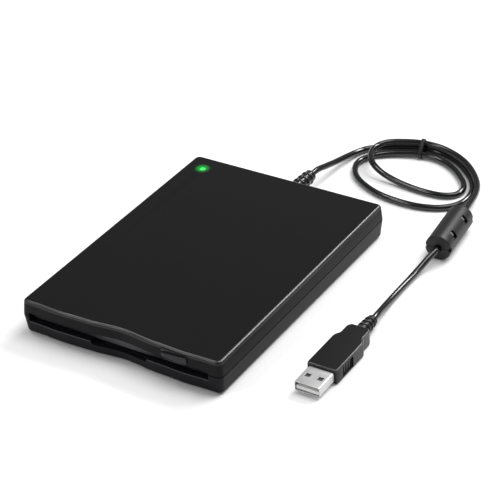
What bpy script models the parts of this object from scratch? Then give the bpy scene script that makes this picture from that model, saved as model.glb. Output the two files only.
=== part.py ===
"""External floppy disk drive with its cord, choke and plug, built in metres, +Z up.

X runs across the drive, the slot and the eject button face -Y, and the cord leaves the back
wall towards +Y. The origin is under the middle of the drive, on the table. Depths are measured
from the front face, and the disk mechanism sits on its own centre line, a little to the left.
"""
import math

import bmesh
import bpy
from mathutils import Matrix, Vector

# Case
CASE_WIDTH = 0.1030
CASE_DEPTH = 0.1420
CASE_TOP = 0.0170
STANCE = 0.0010            # the feet hold the floor this far off the table
SEAM_HEIGHT = 0.0096
SEAM_GAP = 0.0003
CORNER_RADIUS = 0.0036
CORNER_STEPS = 5
ROOF_DRAFT = 0.00054       # the side walls lean in above and below the seam
FLOOR_DRAFT = 0.00082
ROOF_FILLET = 0.0010
FLOOR_FILLET = 0.0007
FILLET_STEPS = 3
SIDE_WALL = 0.0021
FRONT_WALL = 0.0030
ROOF = 0.0016
FLOOR = 0.0016
CAVITY_RADIUS = 0.0014
TONGUE_INSET = 0.0011      # the lower shell's tongue that closes the seam from inside
TONGUE_RISE = 0.0010
SEAT = 0.0003              # gap kept between seated pieces
OVERRUN = 0.0020           # how far a cut runs past what it cuts

# Wave of the front face: a recess for the thumb between two soft bulges
WAVE_CENTRE = 0.0010
WAVE_RECESS = 0.0015
WAVE_BULGE = 0.0005
WAVE_HALF = 0.0180
WAVE_REACH = 0.0460
WAVE_STEPS = 30

# Disk slot, thumb notch and dust door
SLOT_CENTRE = -0.0017
SLOT_WIDTH = 0.0936
SLOT_LOW = 0.0069
SLOT_HEIGHT = 0.0044
NOTCH_CENTRE = -0.0007
NOTCH_WIDTH = 0.0290
NOTCH_FLOOR_WIDTH = 0.0240
NOTCH_DEPTH = 0.0017
NOTCH_STEPS = 4
DOOR_THICKNESS = 0.0008
DOOR_SET_BACK = 0.0004     # behind the front wall
DOOR_LAP = 0.00015         # the door's foot hangs this far below the slot's lower edge
DOOR_RISE = 0.0007         # hinge axis above the slot's upper edge
DOOR_BARREL_RADIUS = 0.0005
DOOR_PIN_RADIUS = 0.00045
DOOR_PIN_LENGTH = 0.0006
DOOR_EAR_WIDTH = 0.0020
DOOR_EAR_DEPTH = 0.0019
DOOR_EAR_DROP = 0.0011

# Eject button and its window
BUTTON_LEFT = 0.0222
BUTTON_WIDTH = 0.0130
BUTTON_LOW = 0.0115
BUTTON_HIGH = 0.0157
BUTTON_OUT = 0.0014        # how far the button stands out of the front face
BUTTON_SHELF = 0.0010      # depth of the darker upper part behind the front face
BUTTON_PAD_HEIGHT = 0.0034
BUTTON_BEVEL = 0.00035
STEM_SIDE = 0.0014         # the stem is narrower than the button by this on each side
STEM_HEIGHT = 0.0016
STEM_REACH = 0.0180
PAD_SHARES = ((0.0, 0.34, 0.74), (0.05, 0.22, 0.80), (0.14, 0.11, 0.83), (0.28, 0.03, 0.84),
              (0.45, 0.0, 0.86), (0.62, 0.0, 0.90), (0.80, 0.03, 0.95), (0.93, 0.07, 1.0),
              (1.0, 0.10, 0.97))

# Feet, screws and indicator light
FOOT_RADIUS = 0.0040
FOOT_SINK = 0.0003
FOOT_X = 0.0400
FOOT_FRONT = 0.0140
FOOT_BACK = 0.1240
FOOT_CHAMFER = 0.0004
SCREW_X = 0.0462
SCREW_DEPTH = 0.1366
SCREW_BOSS_RADIUS = 0.0026
SCREW_HEAD_RADIUS = 0.0019
SCREW_HEAD_HEIGHT = 0.0006
SCREW_RADIUS = 0.0010
SCREW_LENGTH = 0.0070
LIGHT_X = -0.0416
LIGHT_DEPTH = 0.1313
LIGHT_RADIUS = 0.0015
LIGHT_DOME = 0.0002
LIGHT_FLANGE_RADIUS = 0.0024
LIGHT_FLANGE = 0.0008
LED_RADIUS = 0.0015
LED_HEIGHT = 0.0034
LED_RIM_RADIUS = 0.0018
LED_RIM = 0.0006

# Chassis, a folded sheet with tabs
SHEET = 0.0006
MECH_HALF = 0.0470         # half the width of the chassis over its ears
CHASSIS_MARGIN = 0.0003    # the plate stands out past its ears
CHASSIS_FRONT = 0.0036
CHASSIS_SHOULDER = 0.1002
CHASSIS_BACK = 0.1335
TAIL_LEFT = 0.0140
TAIL_RIGHT = 0.0260
TAB = 0.0008
POST_RADIUS = 0.0015
POST_TOP = 0.0053
POST_X = 0.0380
POST_FRONT = 0.0200
POST_BACK = 0.0900
STOP_INNER = 0.0385
STOP_OUTER = 0.0440
STOP_TOP = 0.0090
LIGHTENING_X = 0.0330
LIGHTENING_WIDTH = 0.0110
LIGHTENING_LENGTH = 0.0440
LIGHTENING_RADIUS = 0.0030

# Disk, holder and eject slide
DISK_WIDTH = 0.0900
DISK_LENGTH = 0.0940
DISK_FRONT = 0.0044        # where the seated disk begins
DISK_PLAY = 0.00055        # between the disk's edge and the holder's wall
HOLDER_FRONT = 0.0096
HOLDER_BACK = 0.0970
HOLDER_SHEET = 0.00055
LIP_WIDTH = 0.0023
HOLDER_DROP = 0.0020
PIN_RADIUS = 0.0007
PIN_PLAY = 0.0003
PIN_HEIGHT = 0.0100
PIN_PROUD = 0.0001
PIN_SIDES = 12
RAMP_PINS = (0.0220, 0.0840)
GUIDE_PINS = (0.0400, 0.0700)
SLOT_MARGIN = 0.0013       # metal left round a pin's slot
HEAD_WINDOW_HALF = 0.0076
HEAD_WINDOW_FRONT = 0.0680
SLIDE_SHEET = 0.0005
SLIDE_FRONT = 0.0145
SLIDE_BACK = 0.0930
SLIDE_BAR_BACK = 0.0300
SLIDE_OPEN_HALF = 0.0290
EJECT_TRAVEL = 0.0040
LEVER_X = 0.0240
LEVER_DEPTH = 0.0880
LEVER_REACH = 0.0160
LEVER_HALF = 0.0022
LEVER_SHEET = 0.0005
LEVER_POST_RADIUS = 0.0012
LEVER_POST_PROUD = 0.0004
LEVER_PIN_RADIUS = 0.0010
LEVER_PIN_DROP = 0.0012    # how far the lever's pin reaches into the disk's space
LEVER_REST = math.radians(265.0)
LEVER_SWEEP = math.radians(50.0)
LEVER_SLOT_PLAY = 0.0005

# Spindle motor
SPINDLE_FROM_LEAD = 0.0480 # from the disk's leading edge to its hub
BASE_RADIUS = 0.0201
BASE_SHEET = 0.0005
BEARING_RADIUS = 0.0029
BEARING_BORE = 0.0015
BEARING_TOP = 0.0041
STATOR_RADIUS = 0.0166
STATOR_ROOT = 0.0120
STATOR_TEETH = 12
STATOR_HEIGHT = 0.0004
STATOR_TIP_SHARE = 0.62
ROTOR_RADIUS = 0.0185
ROTOR_RIM = 0.0008
ROTOR_ROOF = 0.0005
HUB_FLANGE_RADIUS = 0.0045
HUB_FLANGE = 0.0004
HUB_PIN_RADIUS = 0.00195
HUB_TOP = 0.00675
HUB_CHAMFER = 0.0004
SHAFT_RADIUS = 0.0012
SHAFT_LOW = 0.0030
DRIVE_PIN_X = 0.0100
DRIVE_PIN_RADIUS = 0.0009
DRIVE_PIN_HEIGHT = 0.0012

# Head carriage, rods, lead screw and stepper motor
HEAD_TRAVEL = 0.0150
HEAD_REACH = 0.0395        # from the spindle to the heads at the outer track
HEAD_HALF = 0.0022
CARRIAGE_HALF = 0.0120
CARRIAGE_LENGTH = 0.0120
CARRIAGE_TOP = 0.0095
CARRIAGE_LOW = 0.0039
CARRIAGE_STOP_GAP = 0.0004
LOWER_ARM_HALF = 0.0050
LOWER_ARM_TOP = 0.00495
LOWER_ARM_OVERHANG = 0.0034
ARM_REAR_HALF = 0.0055
ARM_TIP_HALF = 0.0032
ARM_LOW = 0.0123
ARM_SHEET = 0.0008
ARM_SWING = math.radians(7.0)
ARM_BARREL_RADIUS = 0.0012
ARM_BARREL_HALF = 0.0081
ARM_STUB_RADIUS = 0.0007
ARM_STUB = 0.0015
ARM_EAR_THICK = 0.0015
ARM_EAR_HALF = 0.0020
ARM_EAR_TOP = 0.0140
ARM_PIVOT_SET = 0.0080     # from the carriage's front to the arm's hinge
UPPER_HEAD_LOW = 0.01135
ROD_X = 0.0090
ROD_HEIGHT = 0.0064
ROD_RADIUS = 0.00125
ROD_BACK = 0.1310
ROD_TAB_INNER = 0.0064
ROD_TAB_OUTER = 0.0116
ROD_TAB_TOP = 0.0086
ROD_TAB_BACK = 0.1298
SCREW_LINE_X = 0.0200
SCREW_LINE_HEIGHT = 0.0079
LEAD_SCREW_RADIUS = 0.0010
LEAD_SCREW_PITCH = 0.00375
FOLLOWER_HALF = 0.0023
FOLLOWER_LENGTH = 0.0040
FOLLOWER_SET = 0.0020
STEPPER_RADIUS = 0.0041
STEPPER_LENGTH = 0.0126
STEPPER_COLLAR = 0.0004
SCREW_TAB_HALF = 0.0025
SCREW_TAB_TOP = 0.0096
BRACKET_HALF = 0.0050
BRACKET_TOP = 0.0120

# Circuit boards
BOARD_LOW = 0.0046
BOARD_SHEET = 0.0010
BOARD_FRONT = 0.1030
BOARD_INSET = 0.0007       # from the case's inner walls
BOARD_GAP = 0.0012         # from the chassis
STANDOFF_RADIUS = 0.0018
STANDOFF_EDGE = 0.0028
CHIP_HEIGHT = 0.0014
CHIP_BEVEL = 0.0002
MAIN_CHIP = 0.0140
MAIN_CHIP_X = -0.0335
MAIN_CHIP_DEPTH = 0.1140
USB_CHIP = 0.0100
USB_CHIP_X = 0.0370
USB_CHIP_DEPTH = 0.1120
SOCKET_X = 0.0325
SOCKET_DEPTH = 0.1310
SOCKET_WIDTH = 0.0060
SOCKET_LENGTH = 0.0040
SOCKET_HEIGHT = 0.0031

# Cord, strain relief, choke and plug
CORD_DIAMETER = 0.0031
CORE_RADIUS = 0.0009
BOOT_X = 0.0015
BOOT_LENGTH = 0.0185
BOOT_FLANGE_RADIUS = 0.0046
BOOT_FLANGE = 0.0017
BOOT_NECK_RADIUS = 0.0031
BOOT_COLLAR_RADIUS = 0.0041
BOOT_COLLAR = 0.0022
BOOT_ROOT_RADIUS = 0.0035
BOOT_TIP_RADIUS = 0.0027
BOOT_RIBS = 4
BOOT_RIB_RISE = 0.0006
TIE_WIDTH = 0.0024
TIE_THICKNESS = 0.00042
TIE_PLAY = 0.0003
TIE_X = 0.0330
TIE_DEPTH_Y = 0.1460
TIE_TURN = math.radians(10.0)
CHOKE_RADIUS = 0.00625
CHOKE_LENGTH = 0.0298
CHOKE_WALL = 0.0011
CHOKE_END = 0.0016
CHOKE_FILLET = 0.0005
CHOKE_CENTRE = (0.0814, 0.0787)
CHOKE_TURN = math.radians(5.77)
CHOKE_WINDOW_ANGLE = math.radians(30.0)
CHOKE_WINDOW_SET = 0.0070
CHOKE_WINDOW_WIDTH = 0.0032
CHOKE_WINDOW_LENGTH = 0.0024
CHOKE_LATCH_WIDTH = 0.0020
CHOKE_LATCH_DEPTH = 0.0013
CHOKE_LATCH_SINK = 0.0011
PLUG_X = 0.0819
PLUG_FRONT = -0.0405
PLUG_LENGTH = 0.0335
PLUG_WIDTH = 0.0146
PLUG_THICKNESS = 0.0072
TABLE_GAP = 0.0001
PLUG_BEVEL = 0.0008
PLUG_SHOULDER_SHARES = ((0.0, 0.93), (0.03, 1.0), (0.655, 1.0), (0.69, 0.985), (0.725, 0.90),
                        (0.76, 0.79), (0.79, 0.765), (0.93, 0.765), (0.965, 0.70), (1.0, 0.56))
GRIP_FRONT = 0.0060
GRIP_LENGTH = 0.0100
GRIP_SINK = 0.0005
GRIP_HEIGHT = 0.0036
PLUG_BOOT_LENGTH = 0.0112
PLUG_BOOT_RADIUS = 0.0029
PLUG_BOOT_TIP_RADIUS = 0.0022
PLUG_BOOT_RIBS = 4
PLUG_BOOT_RIB_RISE = 0.0005
SHELL_WIDTH = 0.0120
SHELL_HEIGHT = 0.0045
SHELL_LENGTH = 0.0122
SHELL_SHEET = 0.0003
SHELL_RADIUS = 0.0006
SHELL_WINDOW = 0.0024
SHELL_WINDOW_X = 0.0030
SHELL_WINDOW_SET = 0.0062
TONGUE_THICKNESS = 0.0018
TONGUE_SET = 0.0004

# Route of the cord, chosen along its centre line, and its sides
LEAD_ROUTE = ((0.0016, 0.0960, 0.0094), (0.0021, 0.1030, 0.0077), (0.0023, 0.1120, 0.0050),
              (0.0026, 0.1210, 0.0029), (0.0040, 0.1300, 0.0018), (0.0070, 0.1368, 0.0016))
COIL_ROUTE = ((0.0118, 0.1406, 0.0016), (0.0187, 0.1437, 0.0019), (0.0320, 0.1481, 0.00235),
              (0.0412, 0.1487, 0.0019), (0.0511, 0.1455, 0.0016), (0.0599, 0.1391, 0.0016),
              (0.0671, 0.1315, 0.0016), (0.0712, 0.1236, 0.0016), (0.0723, 0.1153, 0.0016),
              (0.0700, 0.1079, 0.0016), (0.0645, 0.1026, 0.0016), (0.0555, 0.0994, 0.0016),
              (0.0452, 0.0988, 0.0016), (0.0334, 0.1005, 0.0016), (0.0236, 0.1045, 0.0016),
              (0.0155, 0.1101, 0.0016), (0.0109, 0.1164, 0.0016), (0.0091, 0.1237, 0.0016),
              (0.0116, 0.1305, 0.0016), (0.0180, 0.1363, 0.0018), (0.0347, 0.1429, 0.00235),
              (0.0443, 0.1425, 0.0018), (0.0530, 0.1386, 0.0016), (0.0605, 0.1322, 0.0016),
              (0.0652, 0.1262, 0.0016), (0.0668, 0.1212, 0.0016), (0.0657, 0.1167, 0.0016),
              (0.0612, 0.1135, 0.0016), (0.0542, 0.1124, 0.0016), (0.0448, 0.1129, 0.0016),
              (0.0348, 0.1143, 0.0022), (0.0261, 0.1162, 0.0036), (0.0191, 0.1200, 0.0050),
              (0.0142, 0.1268, 0.0054), (0.0129, 0.1346, 0.0055), (0.0159, 0.1404, 0.0057),
              (0.0233, 0.1445, 0.0059), (0.0325, 0.1473, 0.0060), (0.0418, 0.1476, 0.0058),
              (0.0513, 0.1449, 0.0056), (0.0597, 0.1401, 0.0054), (0.0671, 0.1330, 0.0053),
              (0.0728, 0.1253, 0.0051), (0.0758, 0.1180, 0.0050), (0.0776, 0.1100, 0.0055))
TAIL_ROUTE = ((0.0821, 0.0575, 0.0052), (0.0808, 0.0505, 0.0030), (0.0802, 0.0430, 0.0019),
              (0.0801, 0.0320, 0.0017), (0.0804, 0.0220, 0.0020), (0.0811, 0.0140, 0.0028))
CORE_ROUTE = ((0.0040, 0.0630, 0.0108), (0.0090, 0.0602, 0.0131), (0.0170, 0.0595, 0.0138),
              (0.0250, 0.0600, 0.0132), (0.0305, 0.0605, 0.0117))
LOOP_POINTS = 24
LOOPS = 2.35
LEAD_POINTS = 9
TAIL_POINTS = 16
CORE_POINTS = 14
CURVE_SAMPLES = 24
DRAW_SCALE = 1000.0        # outlines are drawn large, so that their fill stays exact
ROUND_STEPS = 32
SMALL_STEPS = 16

# Places worked out from the sizes above
FRONT = -(CASE_DEPTH - BUTTON_OUT) / 2
BACK = FRONT + CASE_DEPTH
SLOT_HIGH = SLOT_LOW + SLOT_HEIGHT
SLOT_LEFT = SLOT_CENTRE - SLOT_WIDTH / 2
SLOT_RIGHT = SLOT_CENTRE + SLOT_WIDTH / 2
CAVITY_HALF = CASE_WIDTH / 2 - SIDE_WALL
CAVITY_BACK = CASE_DEPTH - SIDE_WALL
CEILING = CASE_TOP - ROOF
FLOOR_TOP = STANCE + FLOOR
CHASSIS_LOW = FLOOR_TOP + SEAT
CHASSIS_TOP = CHASSIS_LOW + SHEET
DOOR_AXIS_DEPTH = FRONT_WALL + DOOR_SET_BACK + DOOR_THICKNESS / 2
DOOR_AXIS_HEIGHT = SLOT_HIGH + DOOR_RISE
HOLDER_INNER = DISK_WIDTH / 2 + DISK_PLAY
HOLDER_OUTER = HOLDER_INNER + HOLDER_SHEET
HOLDER_TOP = SLOT_HIGH + HOLDER_SHEET
SLIDE_LOW = HOLDER_TOP + SEAT
SLIDE_TOP = SLIDE_LOW + SLIDE_SHEET
SLIDE_INNER = HOLDER_OUTER + SEAT
SLIDE_OUTER = MECH_HALF
STEM_LOW = SLIDE_TOP + SEAT
SPINDLE_DEPTH = DISK_FRONT + DISK_LENGTH - SPINDLE_FROM_LEAD
HEAD_DEPTH = SPINDLE_DEPTH + HEAD_REACH
STOP_DEPTH = DISK_FRONT + DISK_LENGTH + SEAT
CARRIAGE_FRONT = STOP_DEPTH + TAB + CARRIAGE_STOP_GAP + HEAD_TRAVEL
ARM_PIVOT_DEPTH = CARRIAGE_FRONT + ARM_PIVOT_SET
ARM_PIVOT_HEIGHT = ARM_LOW + ARM_SHEET / 2
FOLLOWER_FRONT = CARRIAGE_FRONT + FOLLOWER_SET
BRACKET_DEPTH = FOLLOWER_FRONT + FOLLOWER_LENGTH + SEAT
STEPPER_FRONT = BRACKET_DEPTH + TAB + SEAT
SCREW_TAB_DEPTH = FOLLOWER_FRONT - HEAD_TRAVEL - CARRIAGE_STOP_GAP - TAB - SEAT
ROTOR_LOW = CHASSIS_LOW + BASE_SHEET + SEAT
ROTOR_TOP = BEARING_TOP + SEAT + ROTOR_ROOF
HUB_LOW = ROTOR_TOP + SEAT
BOARD_TOP = BOARD_LOW + BOARD_SHEET
PART_LOW = BOARD_TOP + SEAT
CORD_RADIUS = CORD_DIAMETER / 2
BOOT_TIP_Y = BACK + BOOT_LENGTH
PLUG_AXIS = TABLE_GAP + PLUG_THICKNESS / 2
CHOKE_AXIS = Vector((-math.sin(CHOKE_TURN), math.cos(CHOKE_TURN), 0.0))
CHOKE_MIDDLE = Vector((CHOKE_CENTRE[0], CHOKE_CENTRE[1], CHOKE_RADIUS + TABLE_GAP))

# Colour, roughness and metallic value of each finish
FINISHES = {
    "case_black": ((0.019, 0.019, 0.020), 0.34, 0.0),
    "base_black": ((0.024, 0.024, 0.026), 0.40, 0.0),
    "button_black": ((0.022, 0.022, 0.024), 0.32, 0.0),
    "rubber": ((0.030, 0.030, 0.030), 0.80, 0.0),
    "cord_black": ((0.014, 0.014, 0.015), 0.30, 0.0),
    "choke_grey": ((0.045, 0.045, 0.047), 0.38, 0.0),
    "light_green": ((0.05, 0.62, 0.11), 0.20, 0.0),
    "steel": ((0.52, 0.52, 0.53), 0.32, 0.9),
    "nickel": ((0.70, 0.70, 0.69), 0.24, 0.95),
    "brass": ((0.62, 0.47, 0.20), 0.30, 0.95),
    "ferrite": ((0.060, 0.060, 0.064), 0.60, 0.0),
    "board_green": ((0.020, 0.120, 0.050), 0.45, 0.0),
    "chip_black": ((0.020, 0.020, 0.022), 0.50, 0.0),
    "white_plastic": ((0.75, 0.75, 0.73), 0.40, 0.0),
    "grey_plastic": ((0.16, 0.16, 0.17), 0.45, 0.0),
}


def start_scene():
    for item in list(bpy.data.objects):
        bpy.data.objects.remove(item, do_unlink=True)
    parts = bpy.data.collections.new("external_floppy_drive")
    tools = bpy.data.collections.new("cutters")
    for group in (parts, tools):
        bpy.context.scene.collection.children.link(group)
    return parts, tools


PARTS, TOOLS = start_scene()


def finish(name):
    made = bpy.data.materials.get(name)
    if made is None:
        colour, roughness, metallic = FINISHES[name]
        made = bpy.data.materials.new(name)
        made.use_nodes = True
        shader = made.node_tree.nodes["Principled BSDF"]
        shader.inputs["Base Color"].default_value = (*colour, 1.0)
        shader.inputs["Roughness"].default_value = roughness
        shader.inputs["Metallic"].default_value = metallic
        made.diffuse_color = (*colour, 1.0)
    return made


def place(name, data, look):
    """Put data in the scene: a named piece of the drive, or a tool where look is None."""
    item = bpy.data.objects.new(name, data)
    if look is None:
        TOOLS.objects.link(item)
        item.hide_render = True
        item.display_type = 'WIRE'
    else:
        PARTS.objects.link(item)
        data.materials.append(finish(look))
    return item


def from_bmesh(name, bm, look):
    bmesh.ops.recalc_face_normals(bm, faces=bm.faces)
    mesh = bpy.data.meshes.new(name)
    bm.to_mesh(mesh)
    bm.free()
    return place(name, mesh, look)


def box(name, x, y, z, look=None, bevel=0.0):
    """A block between the pairs x, y and z, with its edges rounded where bevel is given."""
    bm = bmesh.new()
    bmesh.ops.create_cube(bm, size=1.0)
    size = Vector((x[1] - x[0], y[1] - y[0], z[1] - z[0]))
    middle = Vector((sum(x) / 2, sum(y) / 2, sum(z) / 2))
    bmesh.ops.scale(bm, vec=size, verts=bm.verts)
    bmesh.ops.translate(bm, vec=middle, verts=bm.verts)
    if bevel:
        bmesh.ops.bevel(bm, geom=bm.edges, offset=bevel, segments=2, profile=0.5,
                        affect='EDGES')
    return from_bmesh(name, bm, look)


TURNS = {'X': Matrix.Rotation(math.radians(90.0), 4, 'Y'),
         'Y': Matrix.Rotation(math.radians(-90.0), 4, 'X'),
         'Z': Matrix.Identity(4)}


def rod(name, axis, radius, low, high, across, look=None, steps=SMALL_STEPS):
    """A cylinder along axis from low to high; across gives its place on the other two axes."""
    bm = bmesh.new()
    bmesh.ops.create_cone(bm, cap_ends=True, segments=steps, radius1=radius, radius2=radius,
                          depth=high - low)
    bmesh.ops.transform(bm, matrix=TURNS[axis], verts=bm.verts)
    spots = {'X': ((low + high) / 2, across[0], across[1]),
             'Y': (across[0], (low + high) / 2, across[1]),
             'Z': (across[0], across[1], (low + high) / 2)}
    bmesh.ops.translate(bm, vec=spots[axis], verts=bm.verts)
    return from_bmesh(name, bm, look)


def turned(name, axis, profile, place_at, look=None, steps=ROUND_STEPS, ring=False):
    """Spin a profile of (radius, height along axis), which runs down its outer side."""
    mesh = bpy.data.meshes.new(name)
    points = [(radius, 0.0, height) for radius, height in profile]
    edges = [(k, k + 1) for k in range(len(points) - 1)]
    if ring:
        edges.append((len(points) - 1, 0))
    mesh.from_pydata(points, edges, [])
    item = place(name, mesh, look)
    item.matrix_world = Matrix.Translation(place_at) @ TURNS[axis]
    spin = item.modifiers.new("Turn", 'SCREW')
    spin.axis = 'Z'
    spin.steps = spin.render_steps = steps
    spin.use_merge_vertices = True
    spin.merge_threshold = 0.000001
    spin.use_smooth_shade = True
    return item


def as_mesh(item, name, look):
    """Turn a curve into a closed mesh object that a Boolean can read."""
    bpy.context.view_layer.update()
    graph = bpy.context.evaluated_depsgraph_get()
    mesh = bpy.data.meshes.new_from_object(item.evaluated_get(graph))
    mesh.transform(item.matrix_world)
    mesh.materials.clear()
    bm = bmesh.new()
    bm.from_mesh(mesh)
    bmesh.ops.remove_doubles(bm, verts=bm.verts, dist=0.000001)
    bmesh.ops.recalc_face_normals(bm, faces=bm.faces)
    bm.to_mesh(mesh)
    bm.free()
    curve = item.data
    bpy.data.objects.remove(item, do_unlink=True)
    bpy.data.curves.remove(curve)
    mesh.name = name
    return place(name, mesh, look)


# Flat outlines: plan ones lie in X and Y, front ones in X and Z, side ones in Y and Z.
FACINGS = {'plan': Matrix.Identity(4),
           'front': Matrix(((1, 0, 0, 0), (0, 0, -1, 0), (0, 1, 0, 0), (0, 0, 0, 1))),
           'side': Matrix(((0, 0, 1, 0), (1, 0, 0, 0), (0, 1, 0, 0), (0, 0, 0, 1)))}


def outlined(name, facing, loops, low, high, look=None):
    """Extrude closed outlines, the later ones holes in the first, from low to high."""
    curve = bpy.data.curves.new(name, 'CURVE')
    curve.dimensions = '2D'
    curve.fill_mode = 'BOTH'
    curve.extrude = (high - low) / 2 * DRAW_SCALE
    for points in loops:
        spline = curve.splines.new('POLY')
        spline.points.add(len(points) - 1)
        for point, (u, v) in zip(spline.points, points):
            point.co = (u * DRAW_SCALE, v * DRAW_SCALE, 0.0, 1.0)
        spline.use_cyclic_u = True
    item = place(name + "_outline", curve, None)
    middle = (low + high) / 2
    shift = {'plan': (0.0, 0.0, middle), 'front': (0.0, middle, 0.0), 'side': (middle, 0.0, 0.0)}
    shrink = Matrix.Scale(1 / DRAW_SCALE, 4)
    item.matrix_world = Matrix.Translation(shift[facing]) @ FACINGS[facing] @ shrink
    return as_mesh(item, name, look)


def combine(target, tool, operation):
    step = target.modifiers.new(operation.title(), 'BOOLEAN')
    step.operation = operation
    step.object = tool
    return target


def cut(target, *tools):
    for tool in tools:
        combine(target, tool, 'DIFFERENCE')


def join(target, *tools):
    for tool in tools:
        combine(target, tool, 'UNION')


def pivot(name, spot, *children):
    """An empty on a joint's axis that carries the pieces which move about it."""
    empty = bpy.data.objects.new(name, None)
    PARTS.objects.link(empty)
    empty.location = spot
    empty.empty_display_size = STANCE
    for child in children:
        child.parent = empty
        child.matrix_parent_inverse = Matrix.Translation(spot).inverted()
    return empty


def arc(centre, radius, start, end, steps):
    """Points on an arc from angle start to angle end, both ends included."""
    turn = (end - start) / steps
    return [(centre[0] + radius * math.cos(start + turn * k),
             centre[1] + radius * math.sin(start + turn * k)) for k in range(steps + 1)]


def circle(centre, radius, steps):
    return arc(centre, radius, 0.0, math.tau, steps)[:-1]


def rounded(x, y, radius, steps=CORNER_STEPS):
    """A rectangle between the pairs x and y with round corners, starting at the front left."""
    quarter = math.pi / 2
    spots = ((x[0] + radius, y[0] + radius, 2), (x[1] - radius, y[0] + radius, 3),
             (x[1] - radius, y[1] - radius, 0), (x[0] + radius, y[1] - radius, 1))
    points = []
    for u, v, turn in spots:
        points += arc((u, v), radius, quarter * turn, quarter * (turn + 1), steps)
    return points


def capsule(start, end, radius, steps=6):
    """A slot outline with round ends from start to end."""
    lean = math.atan2(end[1] - start[1], end[0] - start[0])
    quarter = math.pi / 2
    return (arc(end, radius, lean - quarter, lean + quarter, steps)
            + arc(start, radius, lean + quarter, lean + 3 * quarter, steps))


def depth(value):
    """The Y of a depth behind the front face."""
    return FRONT + value


def mech(x):
    """The X of a place measured from the disk mechanism's centre line."""
    return SLOT_CENTRE + x


def wave(x):
    """How far the front face stands behind its plane at x; less than zero is a bulge."""
    reach = abs(x - WAVE_CENTRE)
    if reach <= WAVE_HALF:
        return WAVE_RECESS * math.cos(reach / WAVE_HALF * math.pi / 2) ** 2
    if reach >= WAVE_REACH:
        return 0.0
    share = (reach - WAVE_HALF) / (WAVE_REACH - WAVE_HALF)
    return -WAVE_BULGE * math.sin(math.pi * share) ** 2


def case_outline():
    """The case seen from above at the seam, with its wavy front."""
    half = CASE_WIDTH / 2
    points = rounded((-half, half), (FRONT, BACK), CORNER_RADIUS)
    run = half - CORNER_RADIUS
    front = [(-run + 2 * run * k / WAVE_STEPS) for k in range(1, WAVE_STEPS)]
    split = CORNER_STEPS + 1
    middle = [(x, FRONT + wave(x)) for x in front]
    return points[:split] + middle + points[split:]


def case_half(name, low, high, draft, fillet, upper, look):
    """One shell's outer body: the outline drawn in towards its far face, edge rounded."""
    item = outlined(name, 'plan', [case_outline()], low, high, look)
    bm = bmesh.new()
    bm.from_mesh(item.data)
    far = high if upper else low
    verts = [v for v in bm.verts if abs(v.co.z - far) < SEAT / 2]
    middle = (FRONT + BACK) / 2
    shrink = Vector((1 - 2 * draft / CASE_WIDTH, 1 - 2 * draft / CASE_DEPTH, 1.0))
    bmesh.ops.translate(bm, vec=(0.0, -middle, 0.0), verts=verts)
    bmesh.ops.scale(bm, vec=shrink, verts=verts)
    bmesh.ops.translate(bm, vec=(0.0, middle, 0.0), verts=verts)
    rim = [e for e in bm.edges if len(e.link_faces) == 2
           and all(abs(v.co.z - far) < SEAT / 2 for v in e.verts)
           and abs(e.link_faces[0].normal.z) + abs(e.link_faces[1].normal.z) < 1.5]
    bmesh.ops.bevel(bm, geom=rim, offset=fillet, segments=FILLET_STEPS, profile=0.5,
                    affect='EDGES')
    bmesh.ops.recalc_face_normals(bm, faces=bm.faces)
    bm.to_mesh(item.data)
    bm.free()
    return item


def cavity(name, low, high, inset=0.0):
    """The space inside the case between two heights, larger by inset."""
    half = CAVITY_HALF + inset
    y = (depth(FRONT_WALL) - inset, depth(CAVITY_BACK) + inset)
    outline = rounded((-half, half), y, CAVITY_RADIUS + inset)
    return outlined(name, 'plan', [outline], low, high)


def slot_tool(name):
    return box(name, (SLOT_LEFT, SLOT_RIGHT), (depth(-OVERRUN), depth(FRONT_WALL) + SEAT),
               (SLOT_LOW, SLOT_HIGH))


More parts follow.
